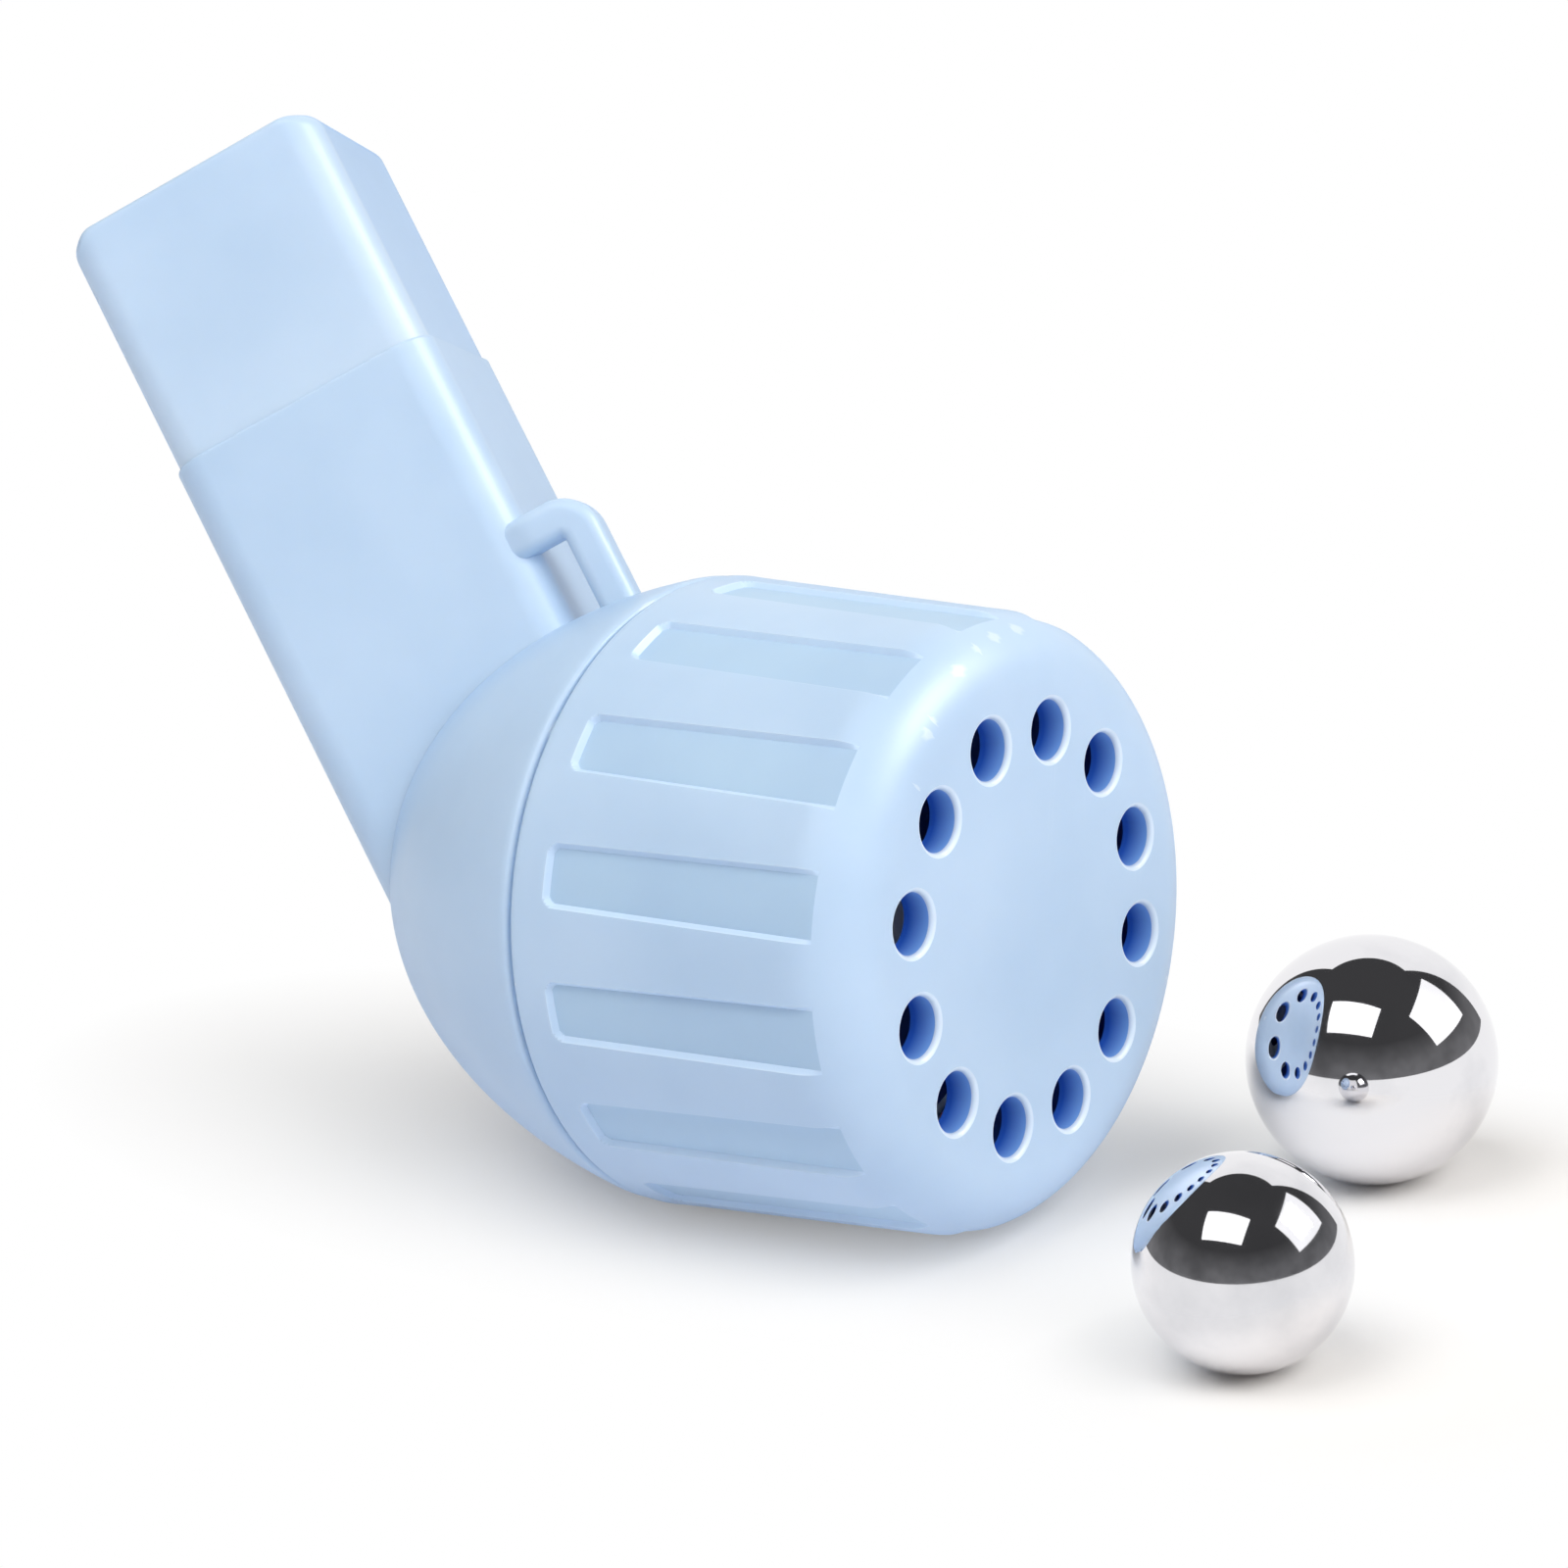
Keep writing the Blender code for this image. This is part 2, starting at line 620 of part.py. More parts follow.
def main():
    clear_scene()
    parts = collection("breathing_trainer")
    cutters = collection("cutters")
    blue = material("blue_plastic", rgba(190, 214, 238), 0.32)
    pale = material("pale_plastic", rgba(226, 234, 242), 0.4)
    rubber = material("seal_rubber", rgba(214, 220, 224), 0.7)
    steel = material("polished_steel", rgba(214, 214, 216), 0.05, 1.0)

    root = empty("layout", None, parts)
    turn = Matrix(((0, 0, 1, 0), (0, -1, 0, 0), (1, 0, 0, 0), (0, 0, 0, 1)))
    head_axis = empty("head_axis", root, parts, turn)
    lean = Matrix.Rotation(-STEM_TILT, 4, "Y") @ Matrix.Rotation(STEM_TWIST, 4, "Z")
    stem_axis = empty("stem_axis", root, parts, Matrix.Translation((-STEM_FOOT, 0, 0)) @ lean)

    make_cap(head_axis, parts, cutters, blue)
    make_bowl(head_axis, stem_axis, parts, cutters, blue)
    make_stem(head_axis, stem_axis, parts, cutters, blue)
    make_mouthpiece(stem_axis, parts, cutters, blue)
    make_cone(head_axis, parts, pale)
    make_seal(head_axis, parts, rubber)
    floor = -max(CAP_REAR_RADIUS, BOWL_RADIUS)
    make_ball("large_ball", LARGE_BALL_DIAMETER, LARGE_BALL_PLACE, floor, root, parts, steel)
    make_ball("small_ball", SMALL_BALL_DIAMETER, SMALL_BALL_PLACE, floor, root, parts, steel)
    stand_on_origin(root, parts)


main()
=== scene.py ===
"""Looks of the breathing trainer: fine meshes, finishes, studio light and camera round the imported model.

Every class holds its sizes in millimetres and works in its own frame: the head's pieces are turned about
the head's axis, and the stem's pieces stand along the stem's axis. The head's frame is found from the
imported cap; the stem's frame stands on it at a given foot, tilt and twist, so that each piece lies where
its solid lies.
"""

from __future__ import annotations

import logging
import math
from collections.abc import Callable, Sequence
from dataclasses import dataclass, replace
from enum import Enum, IntEnum
from functools import cache

import bmesh
import bpy
from mathutils import Matrix, Vector


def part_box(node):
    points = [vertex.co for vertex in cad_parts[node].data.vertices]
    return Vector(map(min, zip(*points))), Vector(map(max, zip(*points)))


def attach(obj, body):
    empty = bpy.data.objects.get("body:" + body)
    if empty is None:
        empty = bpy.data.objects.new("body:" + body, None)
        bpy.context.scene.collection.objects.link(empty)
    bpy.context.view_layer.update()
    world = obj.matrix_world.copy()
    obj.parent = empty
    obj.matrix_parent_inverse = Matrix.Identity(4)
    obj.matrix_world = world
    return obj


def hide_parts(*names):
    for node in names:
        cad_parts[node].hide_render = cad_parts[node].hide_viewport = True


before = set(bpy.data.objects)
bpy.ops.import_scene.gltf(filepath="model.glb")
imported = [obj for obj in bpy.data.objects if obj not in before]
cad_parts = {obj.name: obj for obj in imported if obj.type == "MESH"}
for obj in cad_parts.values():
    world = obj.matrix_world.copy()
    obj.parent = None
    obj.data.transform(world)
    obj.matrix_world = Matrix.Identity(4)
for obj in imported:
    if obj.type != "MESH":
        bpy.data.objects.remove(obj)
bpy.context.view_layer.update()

MM = 0.001
OVERSHOOT = 1.0  # how far, in millimetres, a tool solid reaches past what it cuts or joins
LOG = logging.getLogger("breathing_trainer")

Piece = bpy.types.Object
Material = bpy.types.Material
Socket = bpy.types.NodeSocket
Profile = list[tuple[float, float]]
Ring = list[Vector]
Colour = tuple[float, float, float]
Pair = tuple[float, float]


# Colours and node helpers


def linear(colour: Colour) -> tuple[float, float, float, float]:
    """Turn an sRGB colour into Blender's linear one.

    Args:
        colour: Red, green and blue from 0 to 255.

    Returns:
        Linear red, green, blue and an alpha of one.
    """
    shares = [channel / 255 for channel in colour]
    values = [c / 12.92 if c <= 0.04045 else ((c + 0.055) / 1.055) ** 2.4 for c in shares]
    return (values[0], values[1], values[2], 1.0)


class NodeSheet:
    """A node tree that is written from left to right, with short calls for its nodes and wires."""

    def __init__(self, tree: bpy.types.NodeTree) -> None:
        """Take the tree that the nodes go into."""
        self.tree = tree
        self.column = 0

    def node(self, kind: str, **settings: object) -> bpy.types.Node:
        """Add a node and set its options.

        Args:
            kind: Blender's name for the type of node.
            **settings: Options of the node by their attribute names.

        Returns:
            The new node.
        """
        made = self.tree.nodes.new(kind)
        made.location = (self.column * 200, 0)
        self.column += 1
        for name, value in settings.items():
            setattr(made, name, value)
        return made

    def wire(self, source: Socket, target: Socket) -> None:
        """Join an output to an input."""
        self.tree.links.new(source, target)

    def put(self, target: Socket, value: object) -> None:
        """Wire a socket into an input, or write any other value there.

        Args:
            target: The input.
            value: A socket or a plain value.
        """
        if isinstance(value, Socket):
            self.wire(value, target)
        else:
            target.default_value = value

    def feed(self, node: bpy.types.Node, **values: object) -> None:
        """Fill inputs of a node by name.

        Args:
            node: The node whose inputs are filled.
            **values: Sockets or plain values by input name, with spaces written as underscores.
        """
        for name, value in values.items():
            self.put(node.inputs[name.replace("_", " ")], value)

    def noise(self, where: Socket, scale: object, detail: float, roughness: float = 0.5) -> Socket:
        """Add a noise texture.

        Args:
            where: Coordinates that the noise is read at.
            scale: Waves to the metre, as a number or a socket.
            detail: Octaves of finer noise.
            roughness: How strong the finer octaves are.

        Returns:
            The socket with the noise's value.
        """
        texture = self.node("ShaderNodeTexNoise")
        self.feed(texture, Vector=where, Scale=scale, Detail=detail, Roughness=roughness)
        return texture.outputs["Fac"]

    def spread(self, value: Socket, source: Pair, target: Pair) -> Socket:
        """Map one range of values to another and clamp it there.

        Args:
            value: The socket to map.
            source: Lowest and highest value that come in.
            target: What they become.

        Returns:
            The socket with the mapped value.
        """
        mapped = self.node("ShaderNodeMapRange")
        self.feed(mapped, Value=value, From_Min=source[0], From_Max=source[1])
        self.feed(mapped, To_Min=target[0], To_Max=target[1])
        return mapped.outputs["Result"]

    def maths(self, operation: str, first: object, second: object) -> Socket:
        """Add a math node over two sockets or numbers.

        Args:
            operation: Blender's name for the operation.
            first: The first value.
            second: The second value.

        Returns:
            The socket with the result.
        """
        made = self.node("ShaderNodeMath", operation=operation)
        self.put(made.inputs[0], first)
        self.put(made.inputs[1], second)
        return made.outputs["Value"]

    def blend(self, share: Socket, first: object, second: object) -> Socket:
        """Mix two colours.

        Args:
            share: How much of the second colour shows.
            first: A socket or a linear colour.
            second: A socket or a linear colour.

        Returns:
            The socket with the mixed colour.
        """
        mix = self.node("ShaderNodeMix", data_type="RGBA")
        self.wire(share, mix.inputs["Factor"])
        self.put(mix.inputs[6], first)
        self.put(mix.inputs[7], second)
        return mix.outputs[2]

    def group(self, tree: bpy.types.NodeTree) -> bpy.types.Node:
        """Add a node group."""
        return self.node("ShaderNodeGroup", node_tree=tree)

    def relief(self, height: Socket, strength: float) -> Socket:
        """Turn a height into bent normals.

        Args:
            height: The socket with the height in metres.
            strength: Share of the full effect.

        Returns:
            The socket with the normals.
        """
        bump = self.node("ShaderNodeBump")
        self.feed(bump, Height=height, Distance=1.0, Strength=strength)
        return bump.outputs["Normal"]

    def coordinate(self, place: Socket, axis: str) -> Socket:
        """Take one coordinate out of a place.

        Args:
            place: The socket with the place.
            axis: X, Y or Z.

        Returns:
            The socket with the coordinate.
        """
        parts = self.node("ShaderNodeSeparateXYZ")
        self.wire(place, parts.inputs[0])
        return parts.outputs[axis]

    def glow(self, **values: object) -> Socket:
        """Add a shader that gives off light.

        Args:
            **values: Its Color and Strength, where they differ from the usual ones.

        Returns:
            The shader's output.
        """
        made = self.node("ShaderNodeEmission")
        self.feed(made, **values)
        return made.outputs[0]

    def looks(self) -> tuple[Socket, Socket]:
        """Tell the rays that look at a thing from the ones that light it.

        Returns:
            A mask of camera and glossy rays, and one of these and of transmission rays.
        """
        rays = self.node("ShaderNodeLightPath").outputs
        seen = self.maths("MAXIMUM", rays["Is Camera Ray"], rays["Is Glossy Ray"])
        return seen, self.maths("MAXIMUM", seen, rays["Is Transmission Ray"])

    def close(self, **outputs: Socket) -> bpy.types.NodeTree:
        """Feed the outputs of a group and give its tree."""
        self.feed(self.node("NodeGroupOutput"), **outputs)
        return self.tree


class Effects:
    """Shader node groups that more than one finish uses, each built when it is first asked for."""

    @staticmethod
    def _start(
        name: str, inputs: dict[str, float], outputs: Sequence[str]
    ) -> tuple[NodeSheet, bpy.types.NodeOutputs, Socket]:
        """Start a group with its sockets.

        Args:
            name: The group's name.
            inputs: Names of the number inputs and their usual values.
            outputs: Names of the number outputs.

        Returns:
            The group's sheet, its inputs by name and the object coordinates in it.
        """
        tree = bpy.data.node_groups.new(name, "ShaderNodeTree")
        for label, value in inputs.items():
            socket = tree.interface.new_socket(label, in_out="INPUT", socket_type="NodeSocketFloat")
            socket.default_value = value
        for label in outputs:
            tree.interface.new_socket(label, in_out="OUTPUT", socket_type="NodeSocketFloat")
        sheet = NodeSheet(tree)
        given = sheet.node("NodeGroupInput").outputs
        return sheet, given, sheet.node("ShaderNodeTexCoord").outputs["Object"]

    @staticmethod
    @cache
    def moulded_skin() -> bpy.types.NodeTree:
        """Build the skin of a moulded piece: cloudy tone, fine grain from the tool and a worn gloss.

        Returns:
            A group whose outputs are Tone from 0 to 1, Height in metres and Gloss, an offset of roughness.
        """
        sheet, given, spot = Effects._start(
            "moulded skin",
            {"Cloud Scale": 60.0, "Grain Scale": 2600.0, "Grain Height": 0.000002, "Gloss Change": 0.06},
            ("Tone", "Height", "Gloss"),
        )
        cloud = sheet.noise(spot, given["Cloud Scale"], 3.0, 0.55)
        grain = sheet.noise(spot, given["Grain Scale"], 2.0, 0.6)
        smear = sheet.noise(spot, given["Cloud Scale"], 2.0)
        tone = sheet.spread(cloud, (0.32, 0.68), (0.0, 1.0))
        height = sheet.maths("MULTIPLY", grain, given["Grain Height"])
        swing = sheet.spread(smear, (0.1, 0.9), (-0.5, 0.5))
        gloss = sheet.maths("MULTIPLY", swing, given["Gloss Change"])
        return sheet.close(Tone=tone, Height=height, Gloss=gloss)

    @staticmethod
    @cache
    def painted_edge_highlight() -> bpy.types.NodeTree:
        """Build the mask of the painted highlight along convex edges.

        Returns:
            A group whose output Edge is one on sharp convex edges and nothing on flats and in hollows.
        """
        sheet, given, spot = Effects._start(
            "painted edge highlight", {"Start": 0.52, "Full": 0.6, "Breakup": 0.35}, ("Edge",)
        )
        bend = sheet.node("ShaderNodeNewGeometry").outputs["Pointiness"]
        ramp = sheet.node("ShaderNodeMapRange")
        sheet.feed(ramp, Value=bend, From_Min=given["Start"], From_Max=given["Full"])
        broken = sheet.maths("MULTIPLY", sheet.noise(spot, 420.0, 3.0), given["Breakup"])
        kept = sheet.maths("SUBTRACT", 1.0, broken)
        return sheet.close(Edge=sheet.maths("MULTIPLY", ramp.outputs["Result"], kept))

    @staticmethod
    @cache
    def polish() -> bpy.types.NodeTree:
        """Build the fine scratches and finger marks of a polished surface.

        Returns:
            A group whose outputs are Height in metres and Haze, an offset of roughness.
        """
        sheet, given, spot = Effects._start(
            "polish", {"Scratch Height": 0.0000002, "Haze": 0.04}, ("Height", "Haze")
        )
        stretched = sheet.node("ShaderNodeMapping")
        sheet.feed(stretched, Vector=spot, Scale=(1.0, 14.0, 5.0), Rotation=(0.4, 0.9, 0.2))
        scratch = sheet.noise(stretched.outputs["Vector"], 900.0, 4.0)
        height = sheet.maths("MULTIPLY", scratch, given["Scratch Height"])
        smear = sheet.spread(sheet.noise(spot, 110.0, 5.0), (0.5, 0.75), (0.0, 1.0))
        return sheet.close(Height=height, Haze=sheet.maths("MULTIPLY", smear, given["Haze"]))


# Finishes


def start_finish(name: str, colour: Colour) -> tuple[Material, NodeSheet, bpy.types.Node]:
    """Start the material of a finish.

    Args:
        name: Name of the material.
        colour: Colour that stands for it in a plain view.

    Returns:
        The material, its sheet and its shader.
    """
    made = bpy.data.materials.new(name)
    made.use_nodes = True
    made.diffuse_color = linear(colour)
    return made, NodeSheet(made.node_tree), made.node_tree.nodes["Principled BSDF"]


@dataclass(frozen=True)
class Moulding:
    """Satin moulded plastic, a little milky, with a painted edge highlight and painted shade where seen
    edge-on.
    """

    name: str
    colour: Colour
    deep_colour: Colour
    # the edge colour and edge share paint a highlight on convex edges
    painted_edge_highlight_colour: Colour
    roughness: float = 0.4
    milkiness: float = 0.12
    painted_edge_highlight_share: float = 0.6
    # the grazing share, colour and span paint shade where the surface is seen edge-on
    painted_grazing_shade_share: float = 0.0
    painted_grazing_shade_colour: Colour = (140, 186, 234)
    painted_grazing_shade_span: Pair = (0.74, 0.92)

    def build(self) -> Material:
        """Make the material.

        Returns:
            The finished material.
        """
        made, sheet, shader = start_finish(self.name, self.colour)
        skin = sheet.group(Effects.moulded_skin()).outputs
        edge = sheet.group(Effects.painted_edge_highlight()).outputs["Edge"]
        body = sheet.blend(skin["Tone"], linear(self.deep_colour), linear(self.colour))
        # Painted highlight: paler colour on convex edges.
        painted_edge_highlight_share = sheet.maths("MULTIPLY", edge, self.painted_edge_highlight_share)
        lit = sheet.blend(painted_edge_highlight_share, body, linear(self.painted_edge_highlight_colour))
        # Painted shade: deeper blue where the surface is seen edge-on.
        facing = sheet.node("ShaderNodeLayerWeight").outputs["Facing"]
        painted_grazing_shade = sheet.spread(facing, self.painted_grazing_shade_span, (0.0, self.painted_grazing_shade_share))
        colour = sheet.blend(painted_grazing_shade, lit, linear(self.painted_grazing_shade_colour))
        gloss = sheet.maths("ADD", self.roughness, skin["Gloss"])
        normal = sheet.relief(skin["Height"], 0.5)
        sheet.feed(shader, Base_Color=colour, Roughness=gloss, Normal=normal)
        sheet.feed(shader, Subsurface_Weight=self.milkiness, Subsurface_Scale=0.0015, IOR=1.5)
        sheet.feed(shader, Subsurface_Radius=(0.55, 0.8, 1.0), Specular_IOR_Level=0.5)
        return made


@dataclass(frozen=True)
class PaintedHoleShade:
    """Wall of a vent hole, with painted shade that deepens inward from its mouth and a painted glow."""

    name: str
    mouth_colour: Colour
    deep_colour: Colour
    mouth: float = 0.0
    mouth_painted_glow: float = 0.12
    deep_painted_glow: float = 0.16
    reach: float = 2.2

    def build(self) -> Material:
        """Make the material around the holes' mouths, which lie at self.mouth metres along X.

        Returns:
            The finished material.
        """
        made, sheet, shader = start_finish(self.name, self.deep_colour)
        along = sheet.coordinate(sheet.node("ShaderNodeTexCoord").outputs["Object"], "X")
        # Painted shade: deeper blue further into the hole.
        share = sheet.spread(along, (self.mouth - self.reach * MM, self.mouth), (0.0, 1.0))
        colour = sheet.blend(share, linear(self.deep_colour), linear(self.mouth_colour))
        # Painted glow: the wall gives off light, though it is no lamp.
        glow = sheet.spread(share, (0.0, 1.0), (self.deep_painted_glow, self.mouth_painted_glow))
        normal = sheet.relief(sheet.group(Effects.moulded_skin()).outputs["Height"], 0.5)
        sheet.feed(shader, Base_Color=colour, Roughness=0.4, Normal=normal)
        sheet.feed(shader, Emission_Color=colour, Emission_Strength=glow, Specular_IOR_Level=0.2)
        return made


@dataclass(frozen=True)
class Silicone:
    """Matte translucent rubber with a dusty skin."""

    name: str
    colour: Colour
    dust_colour: Colour
    roughness: float = 0.62

    def build(self) -> Material:
        """Make the material.

        Returns:
            The finished material.
        """
        made, sheet, shader = start_finish(self.name, self.colour)
        group = sheet.group(Effects.moulded_skin())
        sheet.feed(group, Cloud_Scale=240.0, Grain_Scale=5200.0, Grain_Height=0.000004)
        skin = group.outputs
        colour = sheet.blend(skin["Tone"], linear(self.colour), linear(self.dust_colour))
        gloss = sheet.maths("ADD", self.roughness, skin["Gloss"])
        sheet.feed(shader, Base_Color=colour, Roughness=gloss, Normal=sheet.relief(skin["Height"], 0.6))
        sheet.feed(shader, Subsurface_Weight=0.4, Subsurface_Scale=0.001, IOR=1.41)
        return made


@dataclass(frozen=True)
class PolishedSteel:
    """Mirror-polished steel with faint scratches and finger marks."""

    name: str
    colour: Colour
    haze_colour: Colour
    roughness: float = 0.035

    def build(self) -> Material:
        """Make the material.

        Returns:
            The finished material.
        """
        made, sheet, shader = start_finish(self.name, self.colour)
        polish = sheet.group(Effects.polish()).outputs
        share = sheet.spread(polish["Haze"], (0.0, 0.04), (0.0, 1.0))
        colour = sheet.blend(share, linear(self.colour), linear(self.haze_colour))
        roughness = sheet.maths("ADD", self.roughness, polish["Haze"])
        normal = sheet.relief(polish["Height"], 0.25)
        sheet.feed(shader, Base_Color=colour, Roughness=roughness, Normal=normal, Metallic=1.0)
        return made


# The blue mouldings paint a highlight on convex edges and shade where seen edge-on, deepest on the
# mouthpiece; the stem has no painted edge highlight.
BLUE = Moulding(
    "blue moulding", (197, 219, 241), (187, 211, 235), (234, 244, 251), painted_grazing_shade_share=0.3
)
STEM_BLUE = replace(BLUE, name="stem moulding", painted_edge_highlight_share=0.0, painted_grazing_shade_share=0.4)
MOUTH_BLUE = replace(BLUE, name="mouthpiece moulding", painted_grazing_shade_share=0.9)
# Painted shade: the hollow insides are the same blue plastic, painted deep blue for the shade in them.
INSIDE_PAINTED_SHADE = Moulding(
    "painted shade inside", (44, 84, 170), (34, 70, 152), (60, 104, 190), milkiness=0.0, painted_edge_highlight_share=0.2
)
# Painted shade and glow on the walls of the vent holes.
HOLE_PAINTED_SHADE_AND_GLOW = PaintedHoleShade("vent hole painted shade and glow", (134, 182, 240), (42, 92, 190))
# Painted highlight: the vent rims are the same plastic, painted paler.
VENT_RIM_PAINTED_HIGHLIGHT = Moulding("vent rim painted highlight", (226, 240, 254), (218, 234, 251), (250, 253, 255), roughness=0.38)
# Painted highlight: the panel walls are the same plastic, painted paler so their edges show light lines.
WALL_PAINTED_HIGHLIGHT = Moulding("panel wall painted highlight", (206, 228, 250), (198, 221, 246), (240, 249, 255))
FLOOR_BLUE = Moulding("panel floor", (186, 213, 235), (178, 205, 230), (232, 243, 250), roughness=0.46)
PALE = Moulding("pale moulding", (230, 238, 246), (220, 229, 240), (246, 250, 255), roughness=0.38)
RUBBER = Silicone("seal rubber", (206, 214, 220), (226, 230, 233))
STEEL = PolishedSteel("polished steel", (236, 235, 238), (214, 214, 218))


class Slot(Enum):
    """The record's material slots."""

    BLUE = "blue_plastic"
    PALE = "pale_plastic"
    RUBBER = "seal_rubber"
    STEEL = "polished_steel"


# Mesh helpers


def arc(middle: tuple[float, float], radius: float, start: float, end: float, steps: int) -> Profile:
    """Give the points of a circular arc in a profile.

    Args:
        middle: The arc's centre as a radius and a height.
        radius: The arc's own radius.
        start: First angle in degrees.
        end: Last angle in degrees.
        steps: Number of segments.

    Returns:
        The arc's points, its two ends included.
    """
    points = []
    for index in range(steps + 1):
        angle = math.radians(start + (end - start) * index / steps)
        points.append((middle[0] + radius * math.cos(angle), middle[1] + radius * math.sin(angle)))
    return points


def dome(radius: float, depth: float, start: float, steps: int, lead: float = 0.0) -> Profile:
    """Give the points of an elliptical dome that closes on the axis.

    Args:
        radius: Radius of its first circle.
        depth: How far it reaches back from there.
        start: Height of the first circle.
        steps: Number of segments.
        lead: How far ahead of its start the ellipse would be widest.

    Returns:
        Points from the first circle to the pole.
    """
    reach = depth + lead
    first = math.asin(lead / reach)
    widest = radius / math.cos(first)
    angles = [first + (math.pi / 2 - first) * index / steps for index in range(steps)]
    points = [(widest * math.cos(a), start + lead - reach * math.sin(a)) for a in angles]
    return points + [(0.0, start - depth)]


def stepped(start: float, end: float, steps: int) -> list[float]:
    """Give evenly spaced values from start to end, without the last one."""
    return [start + (end - start) * index / steps for index in range(steps)]


def to_object(name: str, shape: bmesh.types.BMesh) -> Piece:
    """Turn a finished shape into an object that no collection holds yet.

    Args:
        name: Name of the new object.
        shape: The shape, which is used up.

    Returns:
        The new object.
    """
    mesh = bpy.data.meshes.new(name)
    shape.to_mesh(mesh)
    shape.free()
    return bpy.data.objects.new(name, mesh)


def skin_rings(name: str, rings: Sequence[Ring], wrapped: bool = False, capped: bool = False) -> Piece:
    """Join rings of points into one skin.

    Args:
        name: Name of the new object.
        rings: Rings with the same number of points, or with one point where the skin closes.
        wrapped: Whether the last ring is joined to the first.
        capped: Whether one flat face closes the first ring.

    Returns:
        The new object, in metres.
    """
    shape = bmesh.new()
    made = [[shape.verts.new(point * MM) for point in ring] for ring in rings]
    pairs = list(zip(made, made[1:]))
    if wrapped:
        pairs.append((made[-1], made[0]))
    if capped:
        shape.faces.new(made[0])
    for first, second in pairs:
        count = max(len(first), len(second))
        for index in range(count):
            after = (index + 1) % count
            corners = [first[index % len(first)], first[after % len(first)]]
            corners += [second[after % len(second)], second[index % len(second)]]
            shape.faces.new(list(dict.fromkeys(corners)))
    bmesh.ops.recalc_face_normals(shape, faces=shape.faces)
    return to_object(name, shape)


def swept(name: str, rings: Sequence[Ring]) -> Piece:
    """Join rings into a bar that a fan of faces closes at either end."""
    first, last = ([sum(ring, Vector()) / len(ring)] for ring in (rings[0], rings[-1]))
    return skin_rings(name, [first, *rings, last])


def turned(name: str, profile: Profile, columns: int = 240) -> Piece:
    """Turn a profile about the local Z axis.

    Args:
        name: Name of the new object.
        profile: Radius and height of each ring; a radius of nothing closes the skin.
        columns: Points on each ring.

    Returns:
        The turned object, in metres.
    """
    angles = [2 * math.pi * index / columns for index in range(columns)]
    rings = []
    for radius, height in profile:
        if radius <= 0:
            rings.append([Vector((0, 0, height))])
        else:
            rings.append([Vector((radius * math.cos(a), radius * math.sin(a), height)) for a in angles])
    return skin_rings(name, rings, wrapped=profile[0][0] > 0)


@dataclass(frozen=True)
class Outline:
    """Rounded rectangle that an upright bar has in plan."""

    width: float
    depth: float
    corner: float
    segments: int = 12
    support: float = 0.5

    def within(self, wall: float, corner_cut: float) -> Outline:
        """Give the outline inside a wall, with the corner's radius cut down."""
        return Outline(self.width - 2 * wall, self.depth - 2 * wall, self.corner - corner_cut)

    def ring(self, height: float) -> Ring:
        """Give the points round the bar, with extra ones that keep its flats flat.

        Args:
            height: Where the ring lies along the local Z axis.

        Returns:
            The ring's points, corner after corner.
        """
        points: Ring = []
        turns = ((1, 1, 0), (-1, 1, 90), (-1, -1, 180), (1, -1, 270))
        for across, along, start in turns:
            middle = Vector(
                (across * (self.width / 2 - self.corner), along * (self.depth / 2 - self.corner), height)
            )
            curve = [math.radians(start + 90 * index / self.segments) for index in range(self.segments + 1)]
            bend = [middle + self.corner * Vector((math.cos(a), math.sin(a), 0)) for a in curve]
            lead = Vector((math.sin(curve[0]), -math.cos(curve[0]), 0)) * self.support
            tail = Vector((-math.sin(curve[-1]), math.cos(curve[-1]), 0)) * self.support
            points += [bend[0] + lead, *bend, bend[-1] + tail]
        return points

    def reach(self, point: Vector) -> Vector:
        """Give the level way from the nearest point of the inner rectangle, without the roundings.

        Args:
            point: A point of the bar or beside it.

        Returns:
            The way outward, as long as the corner's radius where the point lies on the outline.
        """
        across = max(abs(point.x) - (self.width / 2 - self.corner), 0.0)
        along = max(abs(point.y) - (self.depth / 2 - self.corner), 0.0)
        return Vector((math.copysign(across, point.x), math.copysign(along, point.y), 0))

    def rim_radii(self, rim: float, side_rim: float) -> list[float]:
        """Give the rim's radius at each point of a ring.

        Args:
            rim: Radius along the Y sides.
            side_rim: Radius along the X sides.

        Returns:
            One radius for each point, blended at the corners.
        """
        shares = [abs(self.reach(point).normalized().x) for point in self.ring(0.0)]
        return [rim + (side_rim - rim) * share * share * (3 - 2 * share) for share in shares]

    def bar(self, name: str, span: Pair, rim: float = 0.0, side_rim: float = 0.0, steps: int = 10) -> Piece:
        """Make an upright bar with a soft top rim.

        Args:
            name: Name of the new object.
            span: Lowest and highest point along Z.
            rim: Radius of the rounding round its top.
            side_rim: Radius of that rounding on the two X sides, if it is larger there.
            steps: Segments of the rounding.

        Returns:
            The bar as a closed object, in metres.
        """
        bottom, top = span
        rings = [[Vector((0, 0, bottom))], self.ring(bottom)]
        outline = self.ring(top)
        if rim > 0:
            radii = self.rim_radii(rim, max(rim, side_rim))
            sides = [self.reach(point).normalized() for point in outline]
            rings.append(self.ring(top - 2 * max(radii)))
            for angle in [math.pi / 2 * index / steps for index in range(steps + 1)]:
                inset, drop = 1 - math.cos(angle), 1 - math.sin(angle)
                rings.append([
                    point - side * radius * inset - Vector((0, 0, radius * drop))
                    for point, side, radius in zip(outline, sides, radii)
                ])
        else:
            rings.append(outline)
        rings.append([Vector((0, 0, top))])
        return skin_rings(name, rings)


